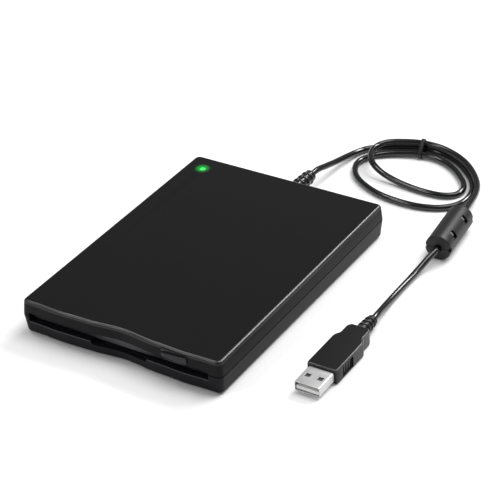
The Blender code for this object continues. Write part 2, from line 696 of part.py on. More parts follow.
def build_case():
    seam_low = SEAM_HEIGHT - SEAM_GAP / 2
    seam_high = SEAM_HEIGHT + SEAM_GAP / 2
    wall_inset = SIDE_WALL - TONGUE_INSET
    cord_hole = BOOT_NECK_RADIUS + SEAT
    boot_spot = (BOOT_X, SEAM_HEIGHT)
    back = (depth(CAVITY_BACK - OVERRUN), BACK + OVERRUN)

    roof = case_half("top_cover", seam_high, CASE_TOP, ROOF_DRAFT, ROOF_FILLET, True,
                     "case_black")
    cut(roof, cavity("roof_cavity", STANCE, CEILING),
        cavity("roof_rabbet", STANCE, SEAM_HEIGHT + TONGUE_RISE + SEAT, wall_inset + SEAT),
        slot_tool("roof_slot"))
    # Hinge ears of the dust door at both ends of the slot
    ear_z = (DOOR_AXIS_HEIGHT - DOOR_EAR_DROP, CEILING + SEAT)
    ear_y = (depth(FRONT_WALL - SEAT), depth(FRONT_WALL + DOOR_EAR_DEPTH))
    join(roof, box("ear_left", (-CAVITY_HALF - SEAT, SLOT_LEFT), ear_y, ear_z),
         box("ear_right", (SLOT_RIGHT, SLOT_RIGHT + DOOR_EAR_WIDTH), ear_y, ear_z))
    hinge = (depth(DOOR_AXIS_DEPTH), DOOR_AXIS_HEIGHT)
    bearing = DOOR_PIN_RADIUS + SEAT
    cut(roof, rod("ear_bore_left", 'X', bearing, SLOT_LEFT - DOOR_PIN_LENGTH, SLOT_LEFT + SEAT,
                  hinge),
        rod("ear_bore_right", 'X', bearing, SLOT_RIGHT - SEAT,
            SLOT_RIGHT + DOOR_PIN_LENGTH, hinge))
    # Screw bosses under the back corners
    for side, sign in (("left", -1), ("right", 1)):
        spot = (sign * SCREW_X, depth(SCREW_DEPTH))
        join(roof, rod("boss_" + side, 'Z', SCREW_BOSS_RADIUS, FLOOR_TOP + SEAT, CEILING + SEAT,
                       spot, steps=SMALL_STEPS))
        cut(roof, rod("boss_bore_" + side, 'Z', SCREW_RADIUS + SEAT, FLOOR_TOP - SEAT,
                      STANCE + SCREW_LENGTH + OVERRUN, spot))
    # Button window, light hole and the upper half of the cord hole
    window = rounded((BUTTON_LEFT - SEAT, BUTTON_LEFT + BUTTON_WIDTH + SEAT),
                     (SLOT_LOW + SEAT, BUTTON_HIGH + SEAT), BUTTON_BEVEL + SEAT)
    cut(roof, outlined("button_window", 'front', [window], depth(-OVERRUN),
                       depth(FRONT_WALL) + SEAT),
        rod("light_hole", 'Z', LIGHT_RADIUS + SEAT, CEILING - SEAT, CASE_TOP + OVERRUN,
            (LIGHT_X, depth(LIGHT_DEPTH))),
        rod("cord_hole_upper", 'Y', cord_hole, *back, boot_spot))

    base = case_half("bottom_cover", STANCE, seam_low, FLOOR_DRAFT, FLOOR_FILLET, False,
                     "base_black")
    half = CASE_WIDTH / 2 - TONGUE_INSET
    tongue = outlined("tongue", 'plan',
                      [rounded((-half, half), (depth(TONGUE_INSET + WAVE_RECESS),
                                               BACK - TONGUE_INSET),
                               CAVITY_RADIUS + wall_inset)],
                      FLOOR_TOP, SEAM_HEIGHT + TONGUE_RISE)
    join(base, tongue)
    cut(base, cavity("base_cavity", FLOOR_TOP, CASE_TOP), slot_tool("base_slot"))
    # Thumb notch in the middle of the lower lip
    wide, narrow = NOTCH_WIDTH / 2, NOTCH_FLOOR_WIDTH / 2
    top, low = SLOT_LOW + SEAT, SLOT_LOW - NOTCH_DEPTH
    radius = wide - narrow
    notch = [(NOTCH_CENTRE - wide, top)]
    for k in range(NOTCH_STEPS + 1):
        turn = math.pi / 2 * k / NOTCH_STEPS
        notch.append((NOTCH_CENTRE - narrow - radius * math.cos(turn) ** 2,
                      SLOT_LOW - NOTCH_DEPTH * math.sin(turn) ** 2))
    notch += [(2 * NOTCH_CENTRE - u, v) for u, v in reversed(notch)]
    cut(base, outlined("thumb_notch", 'front', [notch], depth(-OVERRUN),
                       depth(FRONT_WALL) + SEAT),
        rod("cord_hole_lower", 'Y', cord_hole, *back, boot_spot))
    # Foot recesses, screw holes and board standoffs
    recess_top = STANCE + FOOT_SINK + SEAT
    for k, (x, y) in enumerate(foot_spots()):
        cut(base, rod("foot_recess_%d" % k, 'Z', FOOT_RADIUS + SEAT, -OVERRUN, recess_top, (x, y),
                      steps=24))
    for side, sign in (("left", -1), ("right", 1)):
        spot = (sign * SCREW_X, depth(SCREW_DEPTH))
        cut(base, rod("screw_seat_" + side, 'Z', SCREW_HEAD_RADIUS + SEAT, -OVERRUN,
                      STANCE + SCREW_HEAD_HEIGHT + SEAT, spot),
            rod("screw_hole_" + side, 'Z', SCREW_RADIUS + SEAT, -OVERRUN, FLOOR_TOP + OVERRUN,
                spot))
    for k, spot in enumerate(standoff_spots()):
        join(base, rod("standoff_%d" % k, 'Z', STANDOFF_RADIUS, FLOOR_TOP - SEAT,
                       BOARD_LOW - SEAT, spot, steps=12))
    return roof, base


def foot_spots():
    return [(sx * FOOT_X, depth(y)) for y in (FOOT_FRONT, FOOT_BACK) for sx in (-1, 1)]


def build_feet_and_screws():
    names = ("foot_front_left", "foot_front_right", "foot_back_left", "foot_back_right")
    top = STANCE + FOOT_SINK
    for name, (x, y) in zip(names, foot_spots()):
        turned(name, 'Z', [(0.0, top), (FOOT_RADIUS, top), (FOOT_RADIUS, FOOT_CHAMFER),
                           (FOOT_RADIUS - FOOT_CHAMFER, 0.0), (0.0, 0.0)], (x, y, 0.0), "rubber",
               steps=24)
    head = STANCE + SCREW_HEAD_HEIGHT
    for name, sign in (("cover_screw_left", -1), ("cover_screw_right", 1)):
        turned(name, 'Z', [(0.0, STANCE + SCREW_LENGTH), (SCREW_RADIUS, STANCE + SCREW_LENGTH),
                           (SCREW_RADIUS, head), (SCREW_HEAD_RADIUS, head),
                           (SCREW_HEAD_RADIUS, STANCE + SEAT / 2),
                           (SCREW_HEAD_RADIUS - SEAT / 2, STANCE), (0.0, STANCE)],
               (sign * SCREW_X, depth(SCREW_DEPTH), 0.0), "nickel", steps=SMALL_STEPS)


def build_light():
    top = CASE_TOP
    flange_top = CEILING - SEAT
    led_top = PART_LOW + LED_HEIGHT
    low = led_top + SEAT
    spot = (LIGHT_X, depth(LIGHT_DEPTH), 0.0)
    turned("light_pipe", 'Z',
           [(0.0, top), (LIGHT_RADIUS / 2, top - LIGHT_DOME / 3), (LIGHT_RADIUS, top - LIGHT_DOME),
            (LIGHT_RADIUS, flange_top), (LIGHT_FLANGE_RADIUS, flange_top),
            (LIGHT_FLANGE_RADIUS, flange_top - LIGHT_FLANGE),
            (LIGHT_RADIUS, flange_top - LIGHT_FLANGE), (LIGHT_RADIUS, low), (0.0, low)],
           spot, "light_green", steps=20)
    dome = arc((0.0, led_top - LED_RADIUS), LED_RADIUS, math.pi / 2, 0.0, 4)
    turned("led", 'Z', dome + [(LED_RADIUS, PART_LOW + LED_RIM), (LED_RIM_RADIUS, PART_LOW + LED_RIM),
                               (LED_RIM_RADIUS, PART_LOW), (0.0, PART_LOW)], spot, "light_green",
           steps=SMALL_STEPS)


def build_chassis():
    half = MECH_HALF + CHASSIS_MARGIN
    outline = [(-half, CHASSIS_FRONT), (half, CHASSIS_FRONT), (half, CHASSIS_SHOULDER),
               (TAIL_RIGHT, CHASSIS_SHOULDER), (TAIL_RIGHT, CHASSIS_BACK),
               (-TAIL_LEFT, CHASSIS_BACK), (-TAIL_LEFT, CHASSIS_SHOULDER),
               (-half, CHASSIS_SHOULDER)]
    loops = [[(mech(x), depth(y)) for x, y in outline],
             circle((mech(0.0), depth(SPINDLE_DEPTH)), BASE_RADIUS + SEAT, ROUND_STEPS)]
    chassis = outlined("chassis", 'plan', loops, CHASSIS_LOW, CHASSIS_TOP, "steel")
    low = CHASSIS_TOP - SHEET / 2
    wide, tall = LIGHTENING_WIDTH / 2, LIGHTENING_LENGTH / 2
    for side, sign in (("left", -1), ("right", 1)):
        x, y = mech(sign * LIGHTENING_X), depth(SPINDLE_DEPTH)
        hole = rounded((x - wide, x + wide), (y - tall, y + tall), LIGHTENING_RADIUS, 3)
        cut(chassis, outlined("lightening_" + side, 'plan', [hole], CHASSIS_LOW - OVERRUN,
                              CHASSIS_TOP + OVERRUN))

    def tab(name, x, front, top, thick=TAB):
        join(chassis, box(name, (mech(x[0]), mech(x[1])), (depth(front), depth(front + thick)),
                          (low, top)))

    # Ears whose upright slots guide the disk holder straight down
    grip = PIN_RADIUS + PIN_PLAY
    for k, y in enumerate(GUIDE_PINS):
        wide = grip + SLOT_MARGIN
        for side, sign in (("left", -1), ("right", 1)):
            x = sorted((mech(sign * SLIDE_INNER), mech(sign * SLIDE_OUTER)))
            name = "guide_ear_%s_%d" % (side, k)
            join(chassis, box(name, x, (depth(y - wide), depth(y + wide)),
                              (low, PIN_HEIGHT + grip + SHEET)))
            slot = capsule((depth(y), PIN_HEIGHT - HOLDER_DROP), (depth(y), PIN_HEIGHT), grip)
            cut(chassis, outlined(name + "_slot", 'side', [slot], x[0] - SEAT, x[1] + SEAT))
    # Posts that the seated disk rests on, and stops at its leading edge
    for k, y in enumerate((POST_FRONT, POST_BACK)):
        for side, sign in (("left", -1), ("right", 1)):
            join(chassis, rod("post_%s_%d" % (side, k), 'Z', POST_RADIUS, low, POST_TOP,
                              (mech(sign * POST_X), depth(y)), steps=12))
    for side, sign in (("left", -1), ("right", 1)):
        tab("stop_" + side, sorted((sign * STOP_INNER, sign * STOP_OUTER)), STOP_DEPTH, STOP_TOP)
        for end, front in (("front", STOP_DEPTH), ("back", ROD_TAB_BACK)):
            tab("rod_tab_%s_%s" % (side, end), sorted((sign * ROD_TAB_INNER,
                                                      sign * ROD_TAB_OUTER)), front, ROD_TAB_TOP)
    tab("screw_tab", (SCREW_LINE_X - SCREW_TAB_HALF, SCREW_LINE_X + SCREW_TAB_HALF),
        SCREW_TAB_DEPTH, SCREW_TAB_TOP)
    tab("stepper_bracket", (SCREW_LINE_X - BRACKET_HALF, SCREW_LINE_X + BRACKET_HALF),
        BRACKET_DEPTH, BRACKET_TOP)
    for side, sign in (("left", -1), ("right", 1)):
        cut(chassis, rod("rod_bore_" + side, 'Y', ROD_RADIUS + SEAT, depth(STOP_DEPTH - SEAT),
                         depth(ROD_TAB_BACK + TAB + SEAT), (mech(sign * ROD_X), ROD_HEIGHT)))
    cut(chassis, rod("screw_bore", 'Y', LEAD_SCREW_RADIUS + SEAT, depth(SCREW_TAB_DEPTH - SEAT),
                     depth(BRACKET_DEPTH + TAB + SEAT),
                     (mech(SCREW_LINE_X), SCREW_LINE_HEIGHT)))
    return chassis


def build_holder():
    outer, inner, lip = HOLDER_OUTER, HOLDER_INNER, HOLDER_OUTER - LIP_WIDTH
    lip_low = SLOT_LOW - HOLDER_SHEET
    half = [(lip, lip_low), (outer, lip_low), (outer, HOLDER_TOP)]
    inside = [(inner, SLOT_HIGH), (inner, SLOT_LOW), (lip, SLOT_LOW)]
    right = [(mech(x), z) for x, z in half]
    left = [(mech(-x), z) for x, z in reversed(half)]
    inner_left = [(mech(-x), z) for x, z in reversed(inside)]
    inner_right = [(mech(x), z) for x, z in inside]
    holder = outlined("disk_holder", 'front', [right + left + inner_left + inner_right],
                      depth(HOLDER_FRONT), depth(HOLDER_BACK), "nickel")
    through = (SLOT_HIGH - SEAT, HOLDER_TOP + SEAT)
    cut(holder, box("head_window", (mech(-HEAD_WINDOW_HALF), mech(HEAD_WINDOW_HALF)),
                    (depth(HEAD_WINDOW_FRONT), depth(HOLDER_BACK + OVERRUN)), through))
    # Pins in the chassis ears and in the slide's ramps
    wall = HOLDER_SHEET / 2
    for k, y in enumerate(RAMP_PINS + GUIDE_PINS):
        for side, sign in (("left", -1), ("right", 1)):
            x = sorted((mech(sign * (outer - wall)), mech(sign * (SLIDE_OUTER + PIN_PROUD))))
            join(holder, rod("holder_pin_%s_%d" % (side, k), 'X', PIN_RADIUS, x[0], x[1],
                             (depth(y), PIN_HEIGHT), steps=PIN_SIDES))
    # Shutter lever's post and the opening that its pin sweeps
    centre = (mech(LEVER_X), depth(LEVER_DEPTH))
    lever_top = SLIDE_LOW + LEVER_SHEET
    join(holder, rod("lever_post", 'Z', LEVER_POST_RADIUS, HOLDER_TOP - HOLDER_SHEET / 2,
                     lever_top + LEVER_POST_PROUD, centre))
    play = LEVER_PIN_RADIUS + LEVER_SLOT_PLAY
    spare = play / LEVER_REACH
    start, end = LEVER_REST + spare, LEVER_REST - LEVER_SWEEP - spare
    sweep = (arc(centre, LEVER_REACH + play, start, end, 10)
             + arc(centre, LEVER_REACH - play, end, start, 10))
    cut(holder, outlined("lever_sweep", 'plan', [sweep], *through))
    # The lever itself: a strip on the post with a pin that catches the disk's shutter
    tip = (centre[0] + LEVER_REACH * math.cos(LEVER_REST),
           centre[1] + LEVER_REACH * math.sin(LEVER_REST))
    lever = outlined("shutter_lever", 'plan',
                     [capsule(centre, tip, LEVER_HALF),
                      circle(centre, LEVER_POST_RADIUS + SEAT, SMALL_STEPS)],
                     SLIDE_LOW, lever_top, "steel")
    join(lever, rod("lever_pin", 'Z', LEVER_PIN_RADIUS, SLOT_HIGH - LEVER_PIN_DROP,
                    SLIDE_LOW + LEVER_SHEET / 2, tip, steps=12))
    return holder, lever


def build_slide():
    inner, outer = SLIDE_INNER, SLIDE_OUTER
    grip = PIN_RADIUS + PIN_PLAY
    foot = PIN_HEIGHT - HOLDER_DROP - grip - SLOT_MARGIN
    half = [(outer, foot), (outer, SLIDE_TOP)]
    under = [(inner, SLIDE_LOW), (inner, foot)]
    loop = ([(mech(x), z) for x, z in half] + [(mech(-x), z) for x, z in reversed(half)]
            + [(mech(-x), z) for x, z in reversed(under)] + [(mech(x), z) for x, z in under])
    slide = outlined("eject_slide", 'front', [loop], depth(SLIDE_FRONT), depth(SLIDE_BACK),
                     "steel")
    # The flanges stay only as two ramp plates a side
    keep_front = grip + SLOT_MARGIN
    keep_back = EJECT_TRAVEL + grip + SLOT_MARGIN
    edges = [SLIDE_FRONT - OVERRUN]
    for y in RAMP_PINS:
        edges += [y - keep_front, y + keep_back]
    edges.append(SLIDE_BACK + OVERRUN)
    for k in range(0, len(edges), 2):
        for side, sign in (("left", -1), ("right", 1)):
            x = sorted((mech(sign * (inner - SEAT)), mech(sign * (outer + SEAT))))
            cut(slide, box("flange_gap_%s_%d" % (side, k), x,
                           (depth(edges[k]), depth(edges[k + 1])), (foot - SEAT, SLIDE_LOW)))
    for k, y in enumerate(RAMP_PINS):
        ramp = capsule((depth(y), PIN_HEIGHT),
                       (depth(y + EJECT_TRAVEL), PIN_HEIGHT - HOLDER_DROP), grip)
        for side, sign in (("left", -1), ("right", 1)):
            x = sorted((mech(sign * (inner - SEAT)), mech(sign * (outer + SEAT))))
            cut(slide, outlined("ramp_%s_%d" % (side, k), 'side', [ramp], *x))
    opening = rounded((mech(-SLIDE_OPEN_HALF), mech(SLIDE_OPEN_HALF)),
                      (depth(SLIDE_BAR_BACK), depth(SLIDE_BACK + CORNER_RADIUS)), OVERRUN, 3)
    cut(slide, outlined("slide_opening", 'plan', [opening], SLIDE_LOW - SEAT, SLIDE_TOP + SEAT))

    # Button: a tall body behind the face and a leaf-shaped pad that stands out of it
    x = (BUTTON_LEFT, BUTTON_LEFT + BUTTON_WIDTH)
    body = rounded(x, (BUTTON_LOW, BUTTON_HIGH), BUTTON_BEVEL, 2)
    button = outlined("eject_button", 'front', [body], depth(BUTTON_SHELF), depth(FRONT_WALL),
                      "button_black")
    pad = [(x[0] + BUTTON_WIDTH * u, BUTTON_LOW + BUTTON_PAD_HEIGHT * low)
           for u, low, high in PAD_SHARES]
    pad += [(x[0] + BUTTON_WIDTH * u, BUTTON_LOW + BUTTON_PAD_HEIGHT * high)
            for u, low, high in reversed(PAD_SHARES)]
    face = outlined("button_pad", 'front', [pad], depth(-BUTTON_OUT),
                    depth(BUTTON_SHELF + SEAT))
    bm = bmesh.new()
    bm.from_mesh(face.data)
    front = [e for e in bm.edges
             if all(abs(v.co.y - depth(-BUTTON_OUT)) < SEAT / 2 for v in e.verts)
             and len(e.link_faces) == 2
             and min(abs(f.normal.y) for f in e.link_faces) < SEAT / STANCE]
    bmesh.ops.bevel(bm, geom=front, offset=BUTTON_BEVEL, segments=2, profile=0.5,
                    affect='EDGES')
    bmesh.ops.recalc_face_normals(bm, faces=bm.faces)
    bm.to_mesh(face.data)
    bm.free()
    stem_x = (x[0] + STEM_SIDE, x[1] - STEM_SIDE)
    stem = box("button_stem", stem_x, (depth(FRONT_WALL - SEAT), depth(STEM_REACH)),
               (STEM_LOW, STEM_LOW + STEM_HEIGHT))
    join(button, face, stem)
    return slide, button


def build_door():
    y = (depth(DOOR_AXIS_DEPTH - DOOR_THICKNESS / 2), depth(DOOR_AXIS_DEPTH + DOOR_THICKNESS / 2))
    x = (SLOT_LEFT + SEAT, SLOT_RIGHT - SEAT)
    low = SLOT_LOW - DOOR_LAP
    door = box("dust_door", x, y, (low, DOOR_AXIS_HEIGHT), "case_black")
    axis = (depth(DOOR_AXIS_DEPTH), DOOR_AXIS_HEIGHT)
    join(door, rod("door_barrel", 'X', DOOR_BARREL_RADIUS, x[0], x[1], axis, steps=12),
         rod("door_pins", 'X', DOOR_PIN_RADIUS, x[0] - DOOR_PIN_LENGTH, x[1] + DOOR_PIN_LENGTH,
             axis, steps=10))
    return door


def build_spindle():
    x, y = mech(0.0), depth(SPINDLE_DEPTH)
    spot = (x, y, 0.0)
    base_top = CHASSIS_LOW + BASE_SHEET
    turned("spindle_base", 'Z',
           [(BEARING_BORE, BEARING_TOP), (BEARING_RADIUS, BEARING_TOP), (BEARING_RADIUS, base_top),
            (BASE_RADIUS, base_top), (BASE_RADIUS, CHASSIS_LOW), (BEARING_BORE, CHASSIS_LOW)],
           spot, "steel", ring=True)
    low = base_top + SEAT
    teeth = []
    for k in range(STATOR_TEETH):
        middle = math.tau * k / STATOR_TEETH
        wide = math.pi / STATOR_TEETH * STATOR_TIP_SHARE
        thin = wide / 2
        for turn, radius in ((-thin, STATOR_ROOT), (-thin, (STATOR_ROOT + STATOR_RADIUS) / 2),
                             (-wide, STATOR_RADIUS), (0.0, STATOR_RADIUS), (wide, STATOR_RADIUS),
                             (thin, (STATOR_ROOT + STATOR_RADIUS) / 2), (thin, STATOR_ROOT)):
            teeth.append((x + radius * math.cos(middle + turn), y + radius * math.sin(middle + turn)))
    outlined("stator", 'plan', [teeth, circle((x, y), BEARING_RADIUS + SEAT, SMALL_STEPS)],
             low, low + STATOR_HEIGHT, "brass")
    roof_low = ROTOR_TOP - ROTOR_ROOF
    rotor = turned("rotor", 'Z',
                   [(BEARING_BORE, ROTOR_TOP), (ROTOR_RADIUS, ROTOR_TOP), (ROTOR_RADIUS, ROTOR_LOW),
                    (ROTOR_RADIUS - ROTOR_RIM, ROTOR_LOW), (ROTOR_RADIUS - ROTOR_RIM, roof_low),
                    (BEARING_BORE, roof_low)], spot, "nickel", ring=True)
    flange_top = HUB_LOW + HUB_FLANGE
    hub = turned("spindle_hub", 'Z',
                 [(0.0, HUB_TOP), (HUB_PIN_RADIUS - HUB_CHAMFER, HUB_TOP),
                  (HUB_PIN_RADIUS, HUB_TOP - HUB_CHAMFER), (HUB_PIN_RADIUS, flange_top),
                  (HUB_FLANGE_RADIUS, flange_top), (HUB_FLANGE_RADIUS, HUB_LOW),
                  (SHAFT_RADIUS, HUB_LOW), (SHAFT_RADIUS, SHAFT_LOW), (0.0, SHAFT_LOW)],
                 spot, "brass", steps=20)
    pin = rod("drive_pin", 'Z', DRIVE_PIN_RADIUS, HUB_LOW, HUB_LOW + DRIVE_PIN_HEIGHT,
              (x + DRIVE_PIN_X, y), "nickel", steps=12)
    for item in (hub, rotor):
        item.matrix_world = Matrix.Translation(spot)
    pivot("spindle_axis", (x, y, ROTOR_LOW), rotor, hub, pin)


def build_carriage():
    front, back = CARRIAGE_FRONT, CARRIAGE_FRONT + CARRIAGE_LENGTH
    middle_y = (depth(front), depth(back))
    carriage = box("head_carriage", (mech(-CARRIAGE_HALF), mech(CARRIAGE_HALF)), middle_y,
                   (CARRIAGE_LOW, CARRIAGE_TOP), "grey_plastic")
    arm_front = HEAD_DEPTH - LOWER_ARM_OVERHANG
    overlap = ARM_EAR_THICK
    join(carriage, box("lower_arm", (mech(-LOWER_ARM_HALF), mech(LOWER_ARM_HALF)),
                       (depth(arm_front), depth(front + overlap)), (CARRIAGE_LOW, LOWER_ARM_TOP)))
    screw_x = mech(SCREW_LINE_X)
    follow_y = (depth(FOLLOWER_FRONT), depth(FOLLOWER_FRONT + FOLLOWER_LENGTH))
    join(carriage, box("follower", (mech(CARRIAGE_HALF - SEAT), screw_x + FOLLOWER_HALF), follow_y,
                       (SCREW_LINE_HEIGHT - FOLLOWER_HALF, SCREW_LINE_HEIGHT + FOLLOWER_HALF)))
    pivot_spot = (depth(ARM_PIVOT_DEPTH), ARM_PIVOT_HEIGHT)
    ear_in = ARM_BARREL_HALF + SEAT
    for side, sign in (("left", -1), ("right", 1)):
        x = sorted((mech(sign * ear_in), mech(sign * (ear_in + ARM_EAR_THICK))))
        join(carriage, box("arm_ear_" + side, x, (pivot_spot[0] - ARM_EAR_HALF,
                                                  pivot_spot[0] + ARM_EAR_HALF),
                           (CARRIAGE_TOP - SEAT, ARM_EAR_TOP)))
        cut(carriage, rod("rod_way_" + side, 'Y', ROD_RADIUS + SEAT, depth(front - OVERRUN),
                          depth(back + OVERRUN), (mech(sign * ROD_X), ROD_HEIGHT)))
    far = ear_in + ARM_EAR_THICK + OVERRUN
    cut(carriage, rod("arm_ear_bore", 'X', ARM_STUB_RADIUS + SEAT, mech(-far), mech(far),
                      pivot_spot),
        rod("follower_bore", 'Y', LEAD_SCREW_RADIUS + SEAT, follow_y[0] - SEAT,
            follow_y[1] + SEAT, (screw_x, SCREW_LINE_HEIGHT)))

    head_y = (depth(HEAD_DEPTH - HEAD_HALF), depth(HEAD_DEPTH + HEAD_HALF))
    head_x = (mech(-HEAD_HALF), mech(HEAD_HALF))
    lower = box("lower_head", head_x, head_y, (LOWER_ARM_TOP + SEAT, SLOT_LOW), "chip_black",
                bevel=CHIP_BEVEL)
    upper = box("upper_head", head_x, head_y, (UPPER_HEAD_LOW, ARM_LOW - SEAT), "chip_black",
                bevel=CHIP_BEVEL)
    tip = HEAD_DEPTH - HEAD_HALF - ARM_SHEET
    heel = ARM_PIVOT_DEPTH
    waist = (tip + heel) / 2
    plan = [(ARM_TIP_HALF, tip), (ARM_TIP_HALF, HEAD_DEPTH + HEAD_HALF + ARM_SHEET),
            (ARM_REAR_HALF, waist), (ARM_REAR_HALF, heel)]
    outline = [(mech(-x), depth(y)) for x, y in plan] + [(mech(x), depth(y))
                                                        for x, y in reversed(plan)]
    arm = outlined("upper_arm", 'plan', [outline], ARM_LOW, ARM_LOW + ARM_SHEET, "steel")
    join(arm, rod("arm_barrel", 'X', ARM_BARREL_RADIUS, mech(-ARM_BARREL_HALF),
                  mech(ARM_BARREL_HALF), pivot_spot),
         rod("arm_stubs", 'X', ARM_STUB_RADIUS, mech(-ARM_BARREL_HALF - ARM_STUB),
             mech(ARM_BARREL_HALF + ARM_STUB), pivot_spot, steps=12))
    arm_pivot = pivot("arm_axis", (mech(0.0), *pivot_spot), arm, upper)
    carried = pivot("carriage_axis", (mech(0.0), depth(front), ROD_HEIGHT), carriage, lower)
    arm_pivot.parent = carried
    arm_pivot.matrix_parent_inverse = Matrix.Translation(carried.location).inverted()

    for side, sign in (("left", -1), ("right", 1)):
        rod("guide_rod_" + side, 'Y', ROD_RADIUS, depth(STOP_DEPTH), depth(ROD_BACK),
            (mech(sign * ROD_X), ROD_HEIGHT), "nickel", steps=20)
    screw = rod("lead_screw", 'Y', LEAD_SCREW_RADIUS, depth(SCREW_TAB_DEPTH - SEAT),
                depth(STEPPER_FRONT - SEAT), (screw_x, SCREW_LINE_HEIGHT), "nickel", steps=20)
    pivot("screw_axis", (screw_x, depth(STEPPER_FRONT), SCREW_LINE_HEIGHT), screw)
    length, radius = STEPPER_LENGTH, STEPPER_RADIUS
    collar = STEPPER_COLLAR
    turned("stepper_motor", 'Y',
           [(0.0, length), (radius - collar, length), (radius, length - collar),
            (radius, length / 2 + collar), (radius - collar, length / 2 + collar),
            (radius - collar, length / 2 - collar), (radius, length / 2 - collar),
            (radius, collar), (radius - collar, 0.0), (0.0, 0.0)],
           (screw_x, depth(STEPPER_FRONT), SCREW_LINE_HEIGHT), "steel", steps=24)


def board_sides():
    """The X ranges of the left and right boards, beside the chassis tail."""
    wall = CAVITY_HALF - BOARD_INSET
    return (-wall, mech(-TAIL_LEFT) - BOARD_GAP), (mech(TAIL_RIGHT) + BOARD_GAP, wall)


def standoff_spots():
    spots = []
    back = depth(CAVITY_BACK - BOARD_INSET)
    for k, (low, high) in enumerate(board_sides()):
        inner = high - STANDOFF_EDGE if k == 0 else low + STANDOFF_EDGE
        outer = low + STANDOFF_EDGE if k == 0 else high - STANDOFF_EDGE
        spots += [(inner, depth(BOARD_FRONT) + STANDOFF_EDGE),
                  (outer, depth(BOARD_FRONT) + STANDOFF_EDGE), (inner, back - STANDOFF_EDGE)]
    return spots


def build_boards():
    y = (depth(BOARD_FRONT), depth(CAVITY_BACK - BOARD_INSET))
    for name, x, sign in (("main_board", board_sides()[0], -1), ("usb_board", board_sides()[1], 1)):
        board = box(name, x, y, (BOARD_LOW, BOARD_TOP), "board_green")
        notch = rod(name + "_notch", 'Z', SCREW_BOSS_RADIUS + 2 * SEAT, BOARD_LOW - SEAT,
                    BOARD_TOP + SEAT, (sign * SCREW_X, depth(SCREW_DEPTH)))
        corner_x = sorted((sign * SCREW_X, sign * (CAVITY_HALF + SEAT)))
        corner = box(name + "_corner", corner_x,
                     (depth(SCREW_DEPTH) - SCREW_BOSS_RADIUS - 2 * SEAT, y[1] + SEAT),
                     (BOARD_LOW - SEAT, BOARD_TOP + SEAT))
        cut(board, notch, corner)
    for name, x, at, size in (("main_chip", MAIN_CHIP_X, MAIN_CHIP_DEPTH, MAIN_CHIP),
                              ("usb_chip", USB_CHIP_X, USB_CHIP_DEPTH, USB_CHIP)):
        box(name, (x - size / 2, x + size / 2), (depth(at) - size / 2, depth(at) + size / 2),
            (PART_LOW, PART_LOW + CHIP_HEIGHT), "chip_black", bevel=CHIP_BEVEL)
    box("cord_socket", (SOCKET_X - SOCKET_WIDTH / 2, SOCKET_X + SOCKET_WIDTH / 2),
        (depth(SOCKET_DEPTH) - SOCKET_LENGTH / 2, depth(SOCKET_DEPTH) + SOCKET_LENGTH / 2),
        (PART_LOW, PART_LOW + SOCKET_HEIGHT), "white_plastic", bevel=CHIP_BEVEL)


def smooth_path(route, count):
    """Points at equal steps along a smooth curve through the route's points."""
    points = [Vector(p) for p in route]
    points = [2 * points[0] - points[1]] + points + [2 * points[-1] - points[-2]]
    fine = []
    for k in range(1, len(points) - 2):
        p0, p1, p2, p3 = points[k - 1:k + 3]
        knots = [0.0]
        for a, b in ((p0, p1), (p1, p2), (p2, p3)):
            knots.append(knots[-1] + math.sqrt((b - a).length))
        t0, t1, t2, t3 = knots
        for j in range(CURVE_SAMPLES):
            t = t1 + (t2 - t1) * j / CURVE_SAMPLES
            a1 = (t1 - t) / (t1 - t0) * p0 + (t - t0) / (t1 - t0) * p1
            a2 = (t2 - t) / (t2 - t1) * p1 + (t - t1) / (t2 - t1) * p2
            a3 = (t3 - t) / (t3 - t2) * p2 + (t - t2) / (t3 - t2) * p3
            b1 = (t2 - t) / (t2 - t0) * a1 + (t - t0) / (t2 - t0) * a2
            b2 = (t3 - t) / (t3 - t1) * a2 + (t - t1) / (t3 - t1) * a3
            fine.append((t2 - t) / (t2 - t1) * b1 + (t - t1) / (t2 - t1) * b2)
    fine.append(points[-2])
    runs = [0.0]
    for a, b in zip(fine, fine[1:]):
        runs.append(runs[-1] + (b - a).length)
    path, k = [], 0
    for j in range(count):
        goal = runs[-1] * j / (count - 1)
        while k < len(runs) - 2 and runs[k + 1] < goal:
            k += 1
        share = (goal - runs[k]) / (runs[k + 1] - runs[k])
        path.append(fine[k].lerp(fine[k + 1], share))
    return path, runs[-1]


def stretch(route, count):
    """A smooth path that keeps the straight pieces at both ends of its route."""
    path, length = smooth_path(route, count)
    near = 1.5 * (route[1] - route[0]).length
    far = 1.5 * (route[-1] - route[-2]).length
    middle = [p for p in path if (p - route[0]).length > near and (p - route[-1]).length > far]
    return route[:2] + middle + route[-2:], length


def tube(name, points, radius, resolution, look):
    curve = bpy.data.curves.new(name, 'CURVE')
    curve.dimensions = '3D'
    curve.fill_mode = 'FULL'
    curve.bevel_depth = radius
    curve.bevel_resolution = resolution
    curve.use_fill_caps = True
    spline = curve.splines.new('POLY')
    spline.points.add(len(points) - 1)
    for point, spot in zip(spline.points, points):
        point.co = (*spot, 1.0)
        point.tilt = 0.0
    return place(name, curve, look)


def self_gap(points):
    """The least gap between turns of the tube, read between points over a loop's arc apart."""
    apart = 4 * CORD_DIAMETER
    runs = [0.0]
    for a, b in zip(points, points[1:]):
        runs.append(runs[-1] + (b - a).length)
    least = CASE_WIDTH
    for i, a in enumerate(points):
        for j in range(i + 1, len(points)):
            if runs[j] - runs[i] > apart:
                least = min(least, (points[j] - a).length)
    return least - CORD_DIAMETER


